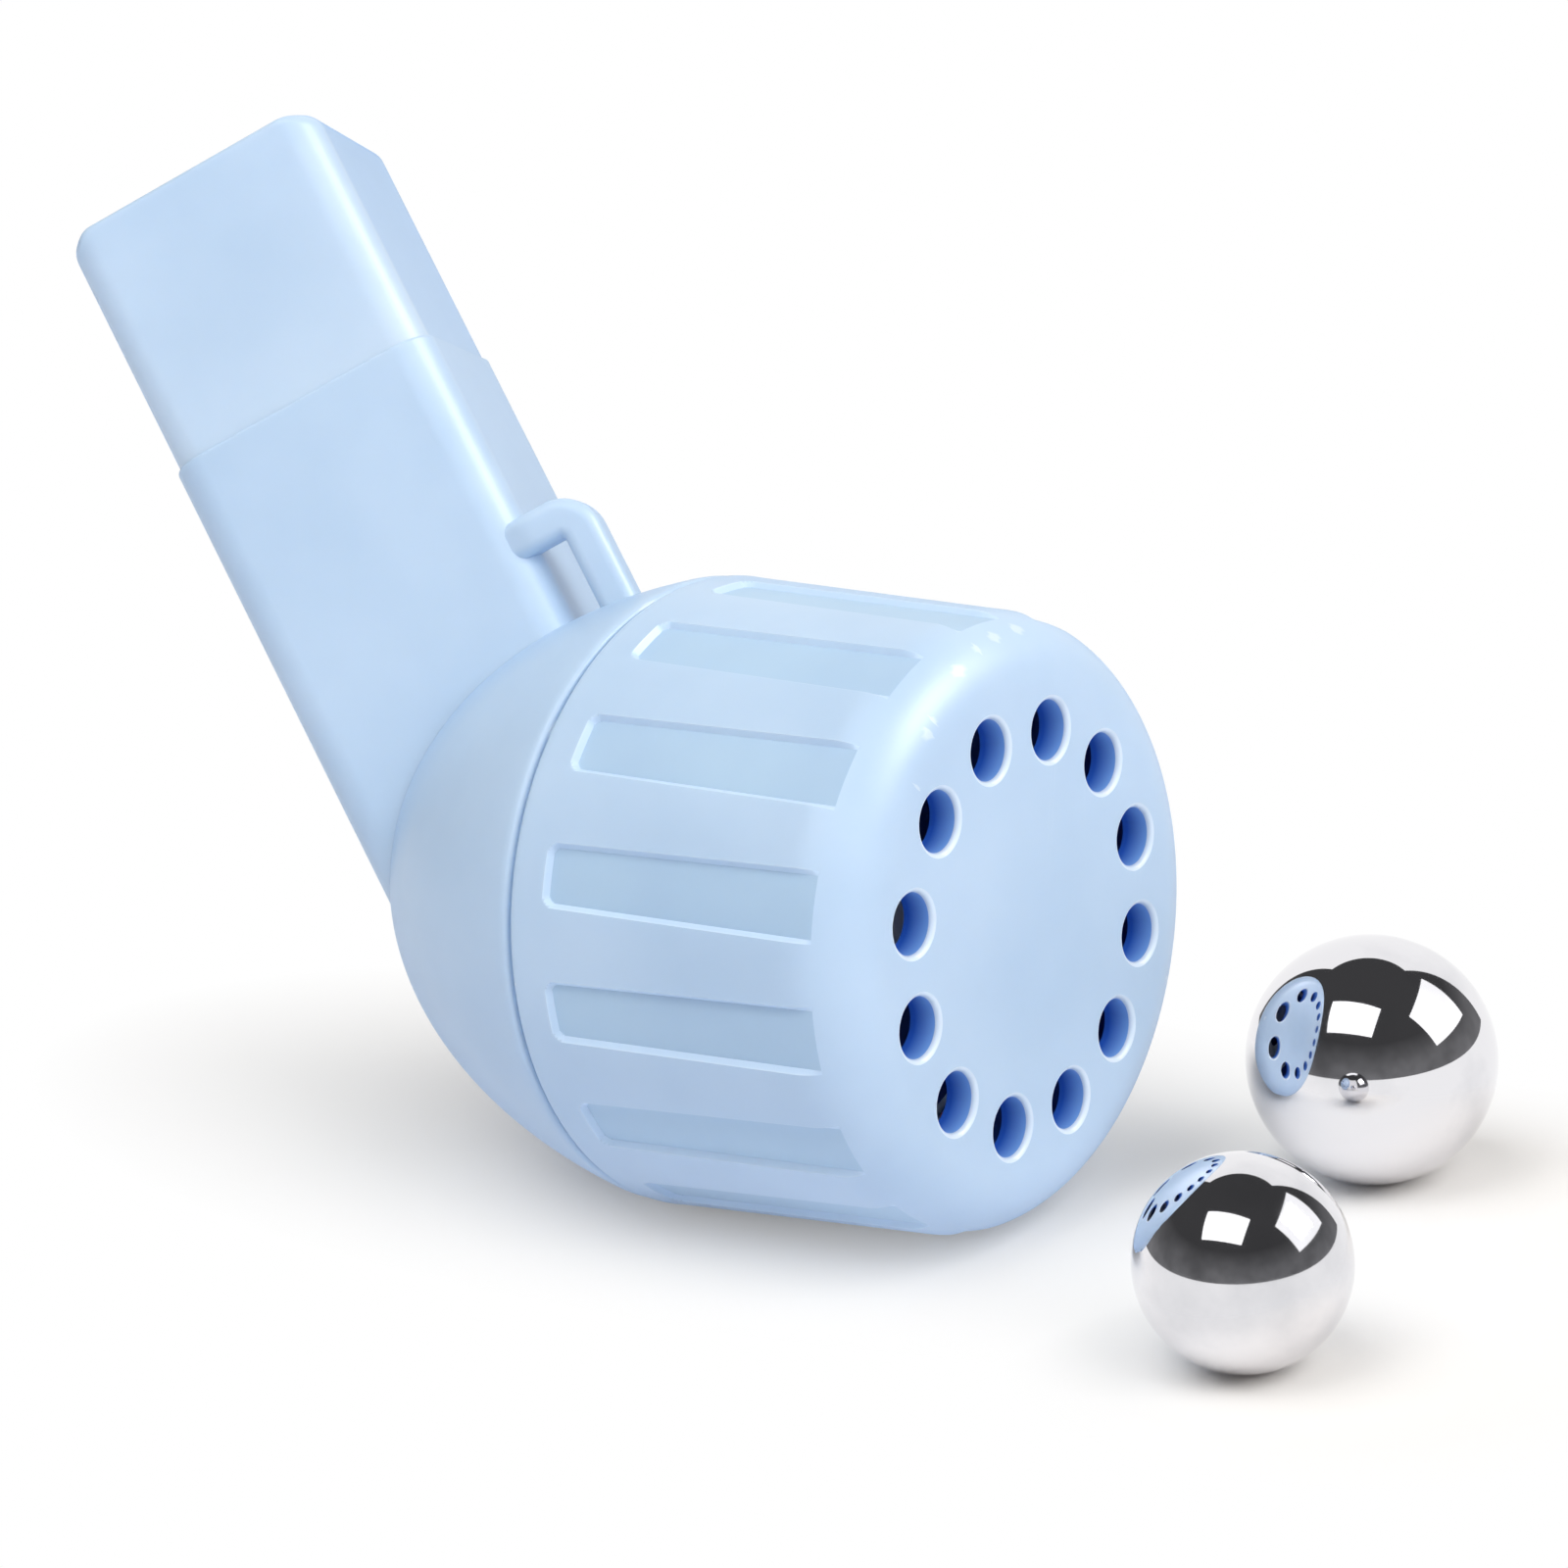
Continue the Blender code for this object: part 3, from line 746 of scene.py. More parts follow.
class Cut(Enum):
    """How one solid acts on another."""

    JOIN = "UNION"
    TAKE = "DIFFERENCE"


def carve(piece: Piece, *steps: tuple[Cut, Piece]) -> None:
    """Join solids to a piece or take them out of it, and keep only the result.

    Args:
        piece: The object that is changed.
        *steps: What is done with each tool solid, in order.
    """
    tools = [tool for _, tool in steps]
    for obj in (piece, *tools):
        bpy.context.scene.collection.objects.link(obj)
    for cut, tool in steps:
        change = piece.modifiers.new(tool.name, "BOOLEAN")
        change.operation = cut.value
        change.solver = "EXACT"
        change.object = tool
    settle(piece)
    for tool in tools:
        bpy.data.objects.remove(tool, do_unlink=True)


def settle(piece: Piece) -> None:
    """Apply all modifiers of a piece to its mesh.

    Args:
        piece: An object that a collection holds.
    """
    bpy.context.view_layer.update()
    graph = bpy.context.evaluated_depsgraph_get()
    mesh = bpy.data.meshes.new_from_object(piece.evaluated_get(graph))
    mesh.name = piece.name
    piece.modifiers.clear()
    piece.data = mesh


def smooth(
    piece: Piece, angle: float = 32.0, weighted: bool = True, flat: float | None = None
) -> None:
    """Shade a piece smoothly between its sharp edges.

    Args:
        piece: The object that is shaded.
        angle: Edges that bend more than this, in degrees, stay sharp.
        weighted: Whether large faces decide the shading beside them.
        flat: Height of a flat face whose border stays sharp, if the piece has one.
    """
    if piece.name not in bpy.context.scene.collection.objects:
        bpy.context.scene.collection.objects.link(piece)
    piece.data.shade_smooth()
    piece.data.set_sharp_from_angle(angle=math.radians(angle))
    if flat is not None:
        crisp_border(piece, flat)
    if weighted:
        balance = piece.modifiers.new("Balance", "WEIGHTED_NORMAL")
        balance.keep_sharp = True
        settle(piece)
    if flat is not None:
        even_flat(piece, flat)


def lies_flat(mesh: bpy.types.Mesh, face: bpy.types.MeshPolygon, height: float) -> bool:
    """Tell whether a face lies at a height of the local frame, in millimetres."""
    return all(abs(mesh.vertices[i].co.z / MM - height) < 0.004 for i in face.vertices)


def replace_normals(piece: Piece, chosen: dict[int, Vector]) -> None:
    """Give corners of a piece new normals.

    Args:
        piece: The object, with its shading settled.
        chosen: The normal of each corner that changes.
    """
    mesh = piece.data
    normals = [chosen.get(index, Vector(each.vector)) for index, each in enumerate(mesh.corner_normals)]
    mesh.normals_split_custom_set(normals)


def even_flat(piece: Piece, height: float) -> None:
    """Shade the flat face at a height evenly, whatever slivers the cuts left in it.

    Args:
        piece: The object, with its shading settled.
        height: Where the flat face lies along the local Z axis, in millimetres.
    """
    faces = [face for face in piece.data.polygons if lies_flat(piece.data, face, height)]
    replace_normals(piece, {corner: Vector((0, 0, 1)) for face in faces for corner in face.loop_indices})


def even_sides(piece: Piece, outline: Outline, slack: float = 0.02, facing: float = 0.9) -> None:
    """Shade the upright sides of a bar evenly, whatever slivers the cuts left in them.

    Args:
        piece: The object, with its shading settled, in the bar's own frame.
        outline: The bar's outline.
        slack: How far from the outline a corner may lie, in millimetres.
        facing: How well a face has to look outward there.
    """
    mesh = piece.data
    chosen: dict[int, Vector] = {}
    for face in mesh.polygons:
        for corner in face.loop_indices:
            way = outline.reach(mesh.vertices[mesh.loops[corner].vertex_index].co / MM)
            side = way.normalized()
            if abs(math.hypot(way.x, way.y) - outline.corner) < slack and face.normal.dot(side) > facing:
                chosen[corner] = side
    replace_normals(piece, chosen)


def crisp_border(piece: Piece, height: float) -> None:
    """Keep the border of a flat face sharp, so that roundings beside it leave its shading even.

    Args:
        piece: The object, before its shading is settled.
        height: Where the flat face lies along the local Z axis, in millimetres.
    """
    mesh = piece.data
    owners: dict[tuple[int, int], list[bool]] = {}
    for face in mesh.polygons:
        is_flat = lies_flat(mesh, face, height)
        for key in face.edge_keys:
            owners.setdefault(key, []).append(is_flat)
    for edge in mesh.edges:
        if sorted(owners[edge.key]) == [False, True]:
            edge.use_edge_sharp = True


def coat(piece: Piece, *finishes: Moulding | PaintedHoleShade | Silicone | PolishedSteel) -> None:
    """Give a piece its finishes, in the order of their numbers."""
    for finish in finishes:
        piece.data.materials.append(finish.build())


def finish_faces(piece: Piece, choose: Callable[[Vector], int]) -> None:
    """Give each face one of the piece's finishes.

    Args:
        piece: An object with more than one finish.
        choose: Number of the finish for a face's middle, in millimetres of the local frame.
    """
    for face in piece.data.polygons:
        face.material_index = choose(face.center / MM)


def dress(piece: Piece, place: Matrix, body: str, node: str) -> Piece:
    """Hand a finished piece to the frame.

    Args:
        piece: The piece in its own frame.
        place: That frame, which is written into the mesh, so that the object stays at the origin.
        body: The body that the piece moves with.
        node: The solid that it stands for.

    Returns:
        The same piece.
    """
    piece.data.transform(place)
    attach(piece, body)
    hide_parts(node)
    LOG.info("%s: %d faces, rides on %s", piece.name, len(piece.data.polygons), body)
    return piece


# Frames of the head and of the stem


@dataclass
class Layout:
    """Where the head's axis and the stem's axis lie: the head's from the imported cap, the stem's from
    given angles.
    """

    stem_foot: float = 46.1
    stem_tilt: float = 28.3
    stem_twist: float = 32.0

    def __post_init__(self) -> None:
        """Find the cap's front middle and its sizes."""
        low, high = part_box("cap")
        self.front = Vector((high.x, (low.y + high.y) / 2, (low.z + high.z) / 2))
        self.cap_length = (high.x - low.x) / MM
        self.cap_radius = (high.z - low.z) / 2 / MM

    def head(self) -> Matrix:
        """Give the head's frame: local Z runs along the head's axis and out of the cap's front."""
        turn = Matrix(((0, 0, 1, 0), (0, -1, 0, 0), (1, 0, 0, 0), (0, 0, 0, 1)))
        return Matrix.Translation(self.front) @ turn

    def stem(self) -> Matrix:
        """Give the stem's frame: local Z runs up the stem from the head's axis.

        Returns:
            The frame's place in the scene, in metres.
        """
        foot = self.front - Vector((self.stem_foot * MM, 0, 0))
        lean = Matrix.Rotation(-math.radians(self.stem_tilt), 4, "Y")
        return Matrix.Translation(foot) @ lean @ Matrix.Rotation(math.radians(self.stem_twist), 4, "Z")


# The pieces


@dataclass
class Thread:
    """Helical ridge with a soft crest that fades out at both ends."""

    root: float
    crest: float
    bottom: float
    pitch: float = 4.0
    turns: float = 1.5
    root_width: float = 1.8
    crest_width: float = 0.8
    soft: float = 0.15
    fade: float = 0.12
    least_rise: float = 0.1
    steps: int = 144

    def ring(self, share: float) -> Ring:
        """Give the ridge's section at one place.

        Args:
            share: The place as a share of the ridge's length.

        Returns:
            The section's points.
        """
        least = self.least_rise
        rise = min(1.0, least + share / self.fade, least + (1 - share) / self.fade)
        crest = self.root + (self.crest - self.root) * rise
        shoulder = crest - math.copysign(self.soft, self.crest - self.root) * rise
        wide, tight = self.crest_width / 2 + self.soft / 2, self.crest_width / 2 - self.soft
        lower = [(self.root, -self.root_width / 2), (shoulder, -wide), (crest, -tight)]
        upper = [(crest, tight), (shoulder, wide), (self.root, self.root_width / 2)]
        angle = 2 * math.pi * self.turns * share
        middle = self.bottom + self.pitch * self.turns * share
        return [Vector((r * math.cos(angle), r * math.sin(angle), middle + z)) for r, z in lower + upper]

    def build(self) -> Piece:
        """Sweep the section along the helix."""
        return swept("thread", [self.ring(index / self.steps) for index in range(self.steps + 1)])


class CapFinish(IntEnum):
    """Numbers of the cap's finishes, several of them painted shade, glow or highlights."""

    SKIN = 0
    HOLE_SHADE_AND_GLOW = 1
    CHAMBER_PAINTED_SHADE = 2
    RIM_PAINTED_HIGHLIGHT = 3
    PANEL_WALL_PAINTED_HIGHLIGHT = 4
    PANEL_FLOOR = 5


@dataclass
class Cap:
    """Screw cap with a soft front edge, a ring of vent holes and sunk grip panels."""

    layout: Layout
    front_draft: float = 1.7
    edge_radius: float = 5.2
    front_wall: float = 2.6
    rear_round: float = 0.4
    bore: float = 22.1
    chamber: float = 20.3
    lip_height: float = -13.4
    thread_bottom: float = -26.0
    thread_height: float = 0.6
    vent_count: int = 12
    vent_ring: float = 14.6
    vent_radius: float = 2.25
    vent_lip: float = 0.42
    vent_phase: float = -17.1
    panel_count: int = 15
    panel_depth: float = 0.45
    panel_rear_width: float = 4.8
    panel_front_width: float = 5.8
    panel_rear_margin: float = 3.0
    panel_corner: float = 1.0
    panel_wall: float = 0.34
    panel_phase: float = 71.2
    panel_support: float = 0.12
    fine_band: float = 1.1
    bore_chamfer: float = 0.3
    chamber_chamfer: float = 0.8
    plug_rise: float = 0.12
    plug_flare: float = 0.25
    vent_columns: int = 56
    front_support: float = 0.5
    rear_support: float = 0.3
    front_end: float = -0.01
    slack: float = 0.05
    wall_shares: Pair = (0.02, 0.98)
    crease: float = 18.0

    def __post_init__(self) -> None:
        """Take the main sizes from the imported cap."""
        self.length = self.layout.cap_length
        self.rear_radius = self.layout.cap_radius
        self.front_radius = self.rear_radius - self.front_draft

    def side(self, height: float) -> float:
        """Give the radius of the tapered side at a height, before its front edge is rounded."""
        return self.front_radius - self.front_draft * height / self.length

    def half_width(self, height: float) -> float:
        """Give half the width of a grip panel.

        Args:
            height: Height along the head's axis.

        Returns:
            Half the width there.
        """
        rear, front = -(self.length - self.panel_rear_margin), self.edge_radius
        share = (height - rear) / (front - rear)
        return (self.panel_rear_width + (self.panel_front_width - self.panel_rear_width) * share) / 2

    def sunk(self, across: float, height: float) -> float:
        """Tell how far a point of the side is sunk into a panel.

        Args:
            across: Distance from the panel's middle line.
            height: Height along the head's axis.

        Returns:
            A share from nothing, outside the panel, to one on its floor.
        """
        beside = self.half_width(height) - abs(across)
        behind = height + self.length - self.panel_rear_margin
        inside = min(beside, behind)
        if beside < self.panel_corner and behind < self.panel_corner:
            gap = math.hypot(self.panel_corner - beside, self.panel_corner - behind)
            inside = self.panel_corner - gap
        return min(max(inside / self.panel_wall, 0.0), 1.0)

    def columns(self, height: float) -> Profile:
        """Place the columns of a ring, closer together along the panels' edges.

        Args:
            height: The ring's height.

        Returns:
            Each column's angle in radians and its distance from its panel's middle line.
        """
        pitch = 2 * math.pi / self.panel_count
        reach = pitch / 2 * self.rear_radius
        width = self.half_width(height)
        floor, fine = width - self.panel_wall, width - self.fine_band
        half = stepped(0.0, fine, 4) + stepped(fine, floor, 8) + stepped(floor, width, 2)
        half += [width] + stepped(width + self.panel_support, reach, 4)
        offsets = [-reach] + [-value for value in reversed(half[1:])] + half
        middles = [math.radians(self.panel_phase) + pitch * panel for panel in range(self.panel_count)]
        return [(middle + offset / self.rear_radius, offset) for middle in middles for offset in offsets]

    def ring(self, radius: float, height: float, carved: bool) -> Ring:
        """Give one ring of the cap.

        Args:
            radius: Radius before the panels are sunk.
            height: Height along the head's axis.
            carved: Whether the ring lies on the outer side, where the panels are.

        Returns:
            The ring's points.
        """
        floor = self.side(height) - self.panel_depth
        points = []
        for angle, across in self.columns(height):
            reach = radius
            if carved and radius > floor:
                reach -= (radius - floor) * self.sunk(across, height)
            points.append(Vector((reach * math.cos(angle), reach * math.sin(angle), height)))
        return points

    def outer_profile(self) -> Profile:
        """Give the outer side from the front face back to the rear edge.

        Returns:
            Radius and height of each ring.
        """
        lean = math.degrees(math.atan2(self.front_draft, self.length))
        middle = (self.side(-self.edge_radius) - self.edge_radius, -self.edge_radius)
        bend = lean + math.degrees(math.acos(1 - self.panel_depth / self.edge_radius))
        points = arc(middle, self.edge_radius, 90, bend, 20)[:-1]
        points += arc(middle, self.edge_radius, bend, lean, 8)
        panel_end = -(self.length - self.panel_rear_margin)
        panel_foot, fine = panel_end + self.panel_wall, panel_end + self.fine_band
        heights = stepped(-self.edge_radius - self.front_support, fine, 26) + stepped(fine, panel_foot, 10)
        heights += stepped(panel_foot, panel_end, 2) + [panel_end]
        rear = (self.rear_radius - self.rear_round, -self.length + self.rear_round)
        heights += stepped(panel_end - self.rear_support, rear[1], 4)
        points += [(self.side(height), height) for height in heights]
        return points + arc(rear, self.rear_round, 0, -90, 5)

    def inner_profile(self) -> Profile:
        """Give the inside from the rear edge forward to the front wall.

        Returns:
            Radius and height of each ring.
        """
        return [
            (self.bore + self.bore_chamfer, -self.length),
            (self.bore, -self.length + self.bore_chamfer),
            (self.bore, self.lip_height),
            (self.chamber, self.lip_height),
            (self.chamber, -self.front_wall - self.chamber_chamfer),
            (self.chamber - self.chamber_chamfer, -self.front_wall),
        ]

    def vents(self) -> list[Piece]:
        """Make one flared plug for each vent hole.

        Returns:
            The plugs in the cap's frame, in metres.
        """
        lip = (self.vent_radius + self.vent_lip, -self.vent_lip)
        flare = [(2 * lip[0] - r, z) for r, z in arc(lip, self.vent_lip, 60, 0, 8)]
        inner = -self.front_wall - OVERSHOOT
        start = (lip[0] + self.plug_flare, self.plug_rise)
        profile = [(0.0, self.plug_rise), start, *flare, (self.vent_radius, inner), (0.0, inner)]
        plugs = []
        for index in range(self.vent_count):
            angle = math.radians(self.vent_phase + 360 * index / self.vent_count)
            plug = turned(f"vent_plug_{index}", profile, self.vent_columns)
            spot = Vector((math.cos(angle), math.sin(angle), 0)) * self.vent_ring * MM
            plug.data.transform(Matrix.Translation(spot))
            plugs.append(plug)
        return plugs

    def finish_at(self, spot: Vector) -> CapFinish:
        """Choose the finish of a face.

        Args:
            spot: The face's middle in the cap's frame, in millimetres.

        Returns:
            The finish's number.
        """
        away = math.hypot(spot.x, spot.y)
        # The chamber takes painted shade.
        if away < self.bore + self.slack and spot.z < -self.front_wall + self.slack:
            return CapFinish.CHAMBER_PAINTED_SHADE
        # Vent rims take a painted highlight, and hole walls painted shade and glow.
        if abs(away - self.vent_ring) < self.vent_radius + self.vent_lip and spot.z < self.front_end:
            return CapFinish.RIM_PAINTED_HIGHLIGHT if spot.z > -self.vent_lip else CapFinish.HOLE_SHADE_AND_GLOW
        pitch = 2 * math.pi / self.panel_count
        turn = math.atan2(spot.y, spot.x) - math.radians(self.panel_phase) + pitch / 2
        share = self.sunk((turn % pitch - pitch / 2) * self.rear_radius, spot.z)
        if share < self.wall_shares[0] or self.side(spot.z) - away > self.panel_depth + self.slack:
            return CapFinish.SKIN
        # Panel walls take a painted highlight.
        return CapFinish.PANEL_WALL_PAINTED_HIGHLIGHT if share < self.wall_shares[1] else CapFinish.PANEL_FLOOR

    def build(self) -> Piece:
        """Make and dress the cap.

        Returns:
            The cap's shell, riding on its body.
        """
        rings = [self.ring(radius, height, True) for radius, height in self.outer_profile()]
        rings += [self.ring(radius, height, False) for radius, height in self.inner_profile()]
        rings.append([Vector((0, 0, -self.front_wall))])
        shell = skin_rings("cap_shell", rings, capped=True)
        thread = Thread(self.bore + self.thread_height, self.bore - self.thread_height, self.thread_bottom)
        carve(shell, (Cut.JOIN, thread.build()), *[(Cut.TAKE, plug) for plug in self.vents()])
        # The hole walls, chamber, vent rims and panel walls take painted shade, glow and highlights.
        painted_hole = replace(HOLE_PAINTED_SHADE_AND_GLOW, mouth=self.layout.front.x)
        coat(shell, BLUE, painted_hole, INSIDE_PAINTED_SHADE, VENT_RIM_PAINTED_HIGHLIGHT, WALL_PAINTED_HIGHLIGHT, FLOOR_BLUE)
        finish_faces(shell, self.finish_at)
        smooth(shell, self.crease, flat=0.0)
        return dress(shell, self.layout.head(), "screw_cap", "cap")


@dataclass
class Bowl:
    """Round rear housing with the cap's neck in front and a spigot for the stem."""

    layout: Layout
    radius: float = 24.5
    depth: float = 28.0
    lead: float = 12.0
    seam_gap: float = 0.4
    seam_step: float = 0.34
    seam_depth: float = 0.5
    shoulder_round: float = 0.4
    neck_radius: float = 21.2
    neck_bore: float = 19.3
    neck_top: float = -15.4
    neck_face: float = 2.0
    neck_rings: Pair = (-20.0, -25.0)
    thread_bottom: float = -24.0
    thread_height: float = 0.6
    ledge: float = -26.9
    ledge_radius: float = 18.2
    ledge_drop: float = 1.0
    back_wall: float = 2.5
    skin: float = 1.2
    spigot_plan: Outline = Outline(19.5, 17.8, 0.85)
    duct_plan: Outline = Outline(16.7, 15.0, 0.43)
    spigot_foot: float = 5.3
    spigot_rim: float = 0.3
    duct_foot: float = 6.7
    spigot_top: float = 25.61
    dome_steps: int = 64
    hollow_steps: int = 32
    hollow_columns: int = 160
    mouth_depth: float = 1.0
    bore_slack: float = 0.02
    ledge_slack: float = 0.1

    def __post_init__(self) -> None:
        """Take the bowl's shoulder from the length of the cap."""
        self.shoulder = -(self.layout.cap_length + self.seam_gap)
        self.waist = self.shoulder - 2 * self.shoulder_round
        self.hollow_start = self.ledge - self.ledge_drop

    def back(self) -> Profile:
        """Give the egg-shaped back from the waist to the pole."""
        return dome(self.radius, self.depth, self.waist, self.dome_steps, self.lead)

    def outer_profile(self) -> Profile:
        """Give the outside from the neck's top back to the pole.

        Returns:
            Radius and height of each ring.
        """
        soft = self.shoulder_round
        neck = arc((self.neck_radius - soft, self.neck_top - soft), soft, 90, 0, 5)
        edge = arc((self.radius - soft, self.shoulder - soft), soft, 90, 0, 6)
        foot, groove = self.shoulder + self.seam_step, self.radius - self.seam_depth
        wall = [(self.neck_radius, height) for height in (*self.neck_rings, foot)]
        wall += [(groove, foot), (groove, self.shoulder)]
        face = [(0.0, self.neck_top), (self.neck_bore - self.neck_face, self.neck_top)]
        return [*face, *neck, *wall, *edge, *self.back()]

    def hollow_profile(self) -> Profile:
        """Give the hollow from above the neck back to its pole.

        Returns:
            Radius and height of each ring.
        """
        depth = self.hollow_start - (self.waist - self.depth + self.back_wall)
        mouth = self.neck_top + OVERSHOOT
        front = [(0.0, mouth), (self.neck_bore, mouth), (self.neck_bore, self.ledge)]
        front += [(self.ledge_radius, self.ledge)]
        return front + dome(self.ledge_radius, depth, self.hollow_start, self.hollow_steps)

    def is_inside(self, spot: Vector) -> bool:
        """Tell whether a point lies on the hollow's wall.

        Args:
            spot: A face's middle in the bowl's frame, in millimetres.

        Returns:
            Whether the face takes the painted shade of the inside.
        """
        away = math.hypot(spot.x, spot.y)
        if spot.z > self.hollow_start:
            return away < self.neck_bore + self.bore_slack and spot.z < self.neck_top - self.mouth_depth
        reach = self.depth + self.lead
        widest = self.radius / math.sqrt(1 - (self.lead / reach) ** 2)
        share = (spot.z - self.waist - self.lead) / (reach - self.skin)
        limit = (widest - self.skin) * math.sqrt(max(1 - share * share, 0.0))
        return away < min(limit, self.ledge_radius + self.ledge_slack)

    def build(self) -> Piece:
        """Make and dress the bowl.

        Returns:
            The bowl's shell, riding on its body.
        """
        shell = turned("bowl_shell", self.outer_profile())
        to_head = self.layout.head().inverted() @ self.layout.stem()
        spigot = self.spigot_plan.bar("spigot", (self.spigot_foot, self.spigot_top), self.spigot_rim)
        duct = self.duct_plan.bar("duct", (self.duct_foot, self.spigot_top + OVERSHOOT))
        for tool in (spigot, duct):
            tool.data.transform(to_head)
        hollow = turned("hollow", self.hollow_profile(), self.hollow_columns)
        crest = self.neck_radius + self.thread_height
        thread = Thread(self.neck_radius - self.thread_height, crest, self.thread_bottom).build()
        carve(shell, (Cut.JOIN, spigot), (Cut.JOIN, thread), (Cut.TAKE, hollow), (Cut.TAKE, duct))
        # The hollow's wall takes the painted shade of the inside.
        coat(shell, BLUE, INSIDE_PAINTED_SHADE)
        finish_faces(shell, lambda spot: int(self.is_inside(spot)))
        smooth(shell)
        return dress(shell, self.layout.head(), "housing", "bowl")


@dataclass
class Stem:
    """Rectangular sleeve that saddles the bowl, with the lanyard loop in its bend."""

    layout: Layout
    bowl: Bowl
    plan: Outline = Outline(23.7, 22.0, 3.1)
    wall: float = 1.8
    length: float = 41.9
    heel: float = 3.0
    heel_floor: float = 2.0
    rim: float = 0.4
    loop_band: float = 3.1
    loop_thickness: float = 3.6
    loop_proud: float = 0.4
    loop_reach: float = 5.7
    loop_overlap: float = 2.3
    loop_top: float = 25.2
    loop_corner: float = 3.4
    loop_softness: float = 1.0
    loop_sink: float = 0.9
    loop_leg: Pair = (3.0, 6.0)
    arm_steps: int = 6
    bend_steps: int = 12
    crease: float = 24.0

    def loop_path(self) -> list[tuple[Vector, Vector]]:
        """Give the hook's middle line, from inside the stem to inside the bowl.

        Returns:
            Each point and the direction that leads outward from the bend there.
        """
        edge, middle = self.plan.width / 2, self.loop_band / 2
        turn = Vector((edge + self.loop_reach - self.loop_corner, 0, self.loop_top - self.loop_corner))
        lengths = stepped(edge - self.loop_overlap, turn.x, self.arm_steps)
        path = [(Vector((x, 0, self.loop_top - middle)), Vector((0, 0, 1))) for x in lengths]
        for index in range(self.bend_steps + 1):
            angle = math.pi / 2 * (1 - index / self.bend_steps)
            out = Vector((math.cos(angle), 0, math.sin(angle)))
            path.append((turn + out * (self.loop_corner - middle), out))
        side = edge + self.loop_reach - middle
        heights = [turn.z - drop for drop in self.loop_leg] + [self.loop_top / 2]
        return path + [(Vector((side, 0, z)), Vector((1, 0, 0))) for z in heights]

    def loop(self, fade_start: float = 0.6, fade: float = 2.4, power: float = 1.5) -> Piece:
        """Sweep the loop's soft section along its path.

        Args:
            fade_start: How far outside the stem the loop starts to sink into its side.
            fade: How far inward it takes to sink fully.
            power: How softly it starts.

        Returns:
            The loop in the stem's frame.
        """
        centre = -self.plan.depth / 2 - self.loop_proud + self.loop_thickness / 2
        section = Outline(self.loop_band, self.loop_thickness, self.loop_softness).ring(0.0)
        rings = []
        for spot, out in self.loop_path():
            share = min(1.0, max(0.0, (self.plan.width / 2 + fade_start - spot.x) / fade))
            side = centre + self.loop_sink * share**power
            rings.append([spot + out * p.x + Vector((0, side + p.y, 0)) for p in section])
        return swept("loop", rings)

    def build(self) -> Piece:
        """Make and dress the stem.

        Returns:
            The stem's shell, riding on its body.
        """
        shell = self.plan.bar("stem_shell", (self.heel, self.length), self.rim)
        inner = self.plan.within(self.wall, self.wall)
        bore = inner.bar("bore", (self.heel + self.heel_floor, self.length + OVERSHOOT))
        top = self.bowl.neck_top
        room = turned("saddle", [(0.0, top), (self.bowl.radius, top), *self.bowl.back()])
        room.data.transform(self.layout.stem().inverted() @ self.layout.head())
        carve(shell, (Cut.JOIN, self.loop()), (Cut.TAKE, bore), (Cut.TAKE, room))
        coat(shell, STEM_BLUE)
        smooth(shell, self.crease)
        even_sides(shell, self.plan)
        return dress(shell, self.layout.stem(), "housing", "stem")


@dataclass
class Mouthpiece:
    """Plug-in end of the stem: a soft-rimmed rectangular tube over a narrower spigot."""

    layout: Layout
    stem: Stem
    step: float = 0.35
    length: float = 20.4
    wall: float = 1.8
    rim: float = 0.6
    side_rim: float = 1.8
    seat_gap: float = 0.3
    shown_gap: float = -0.02
    floor: float = 2.6
    spigot_end: float = 29.01

    def build(self) -> Piece:
        """Make and dress the mouthpiece.

        Returns:
            The mouthpiece, riding on its body.
        """
        plan = self.stem.plan.within(self.step, self.step)
        bottom = self.stem.length + self.seat_gap
        top = bottom + self.length
        shown = (self.stem.length + self.shown_gap, top)
        shell = plan.bar("mouthpiece_shell", shown, self.rim, self.side_rim)
        spigot = self.stem.bowl.spigot_plan.bar("spigot", (self.spigot_end, bottom + OVERSHOOT))
        well = plan.within(self.wall, self.wall / 2).bar("well", (bottom + self.floor, top + OVERSHOOT))
        bore = self.stem.bowl.duct_plan.bar("bore", (self.spigot_end - OVERSHOOT, top))
        carve(shell, (Cut.JOIN, spigot), (Cut.TAKE, well), (Cut.TAKE, bore))
        coat(shell, MOUTH_BLUE)
        smooth(shell)
        return dress(shell, self.layout.stem(), "mouthpiece", "mouthpiece")


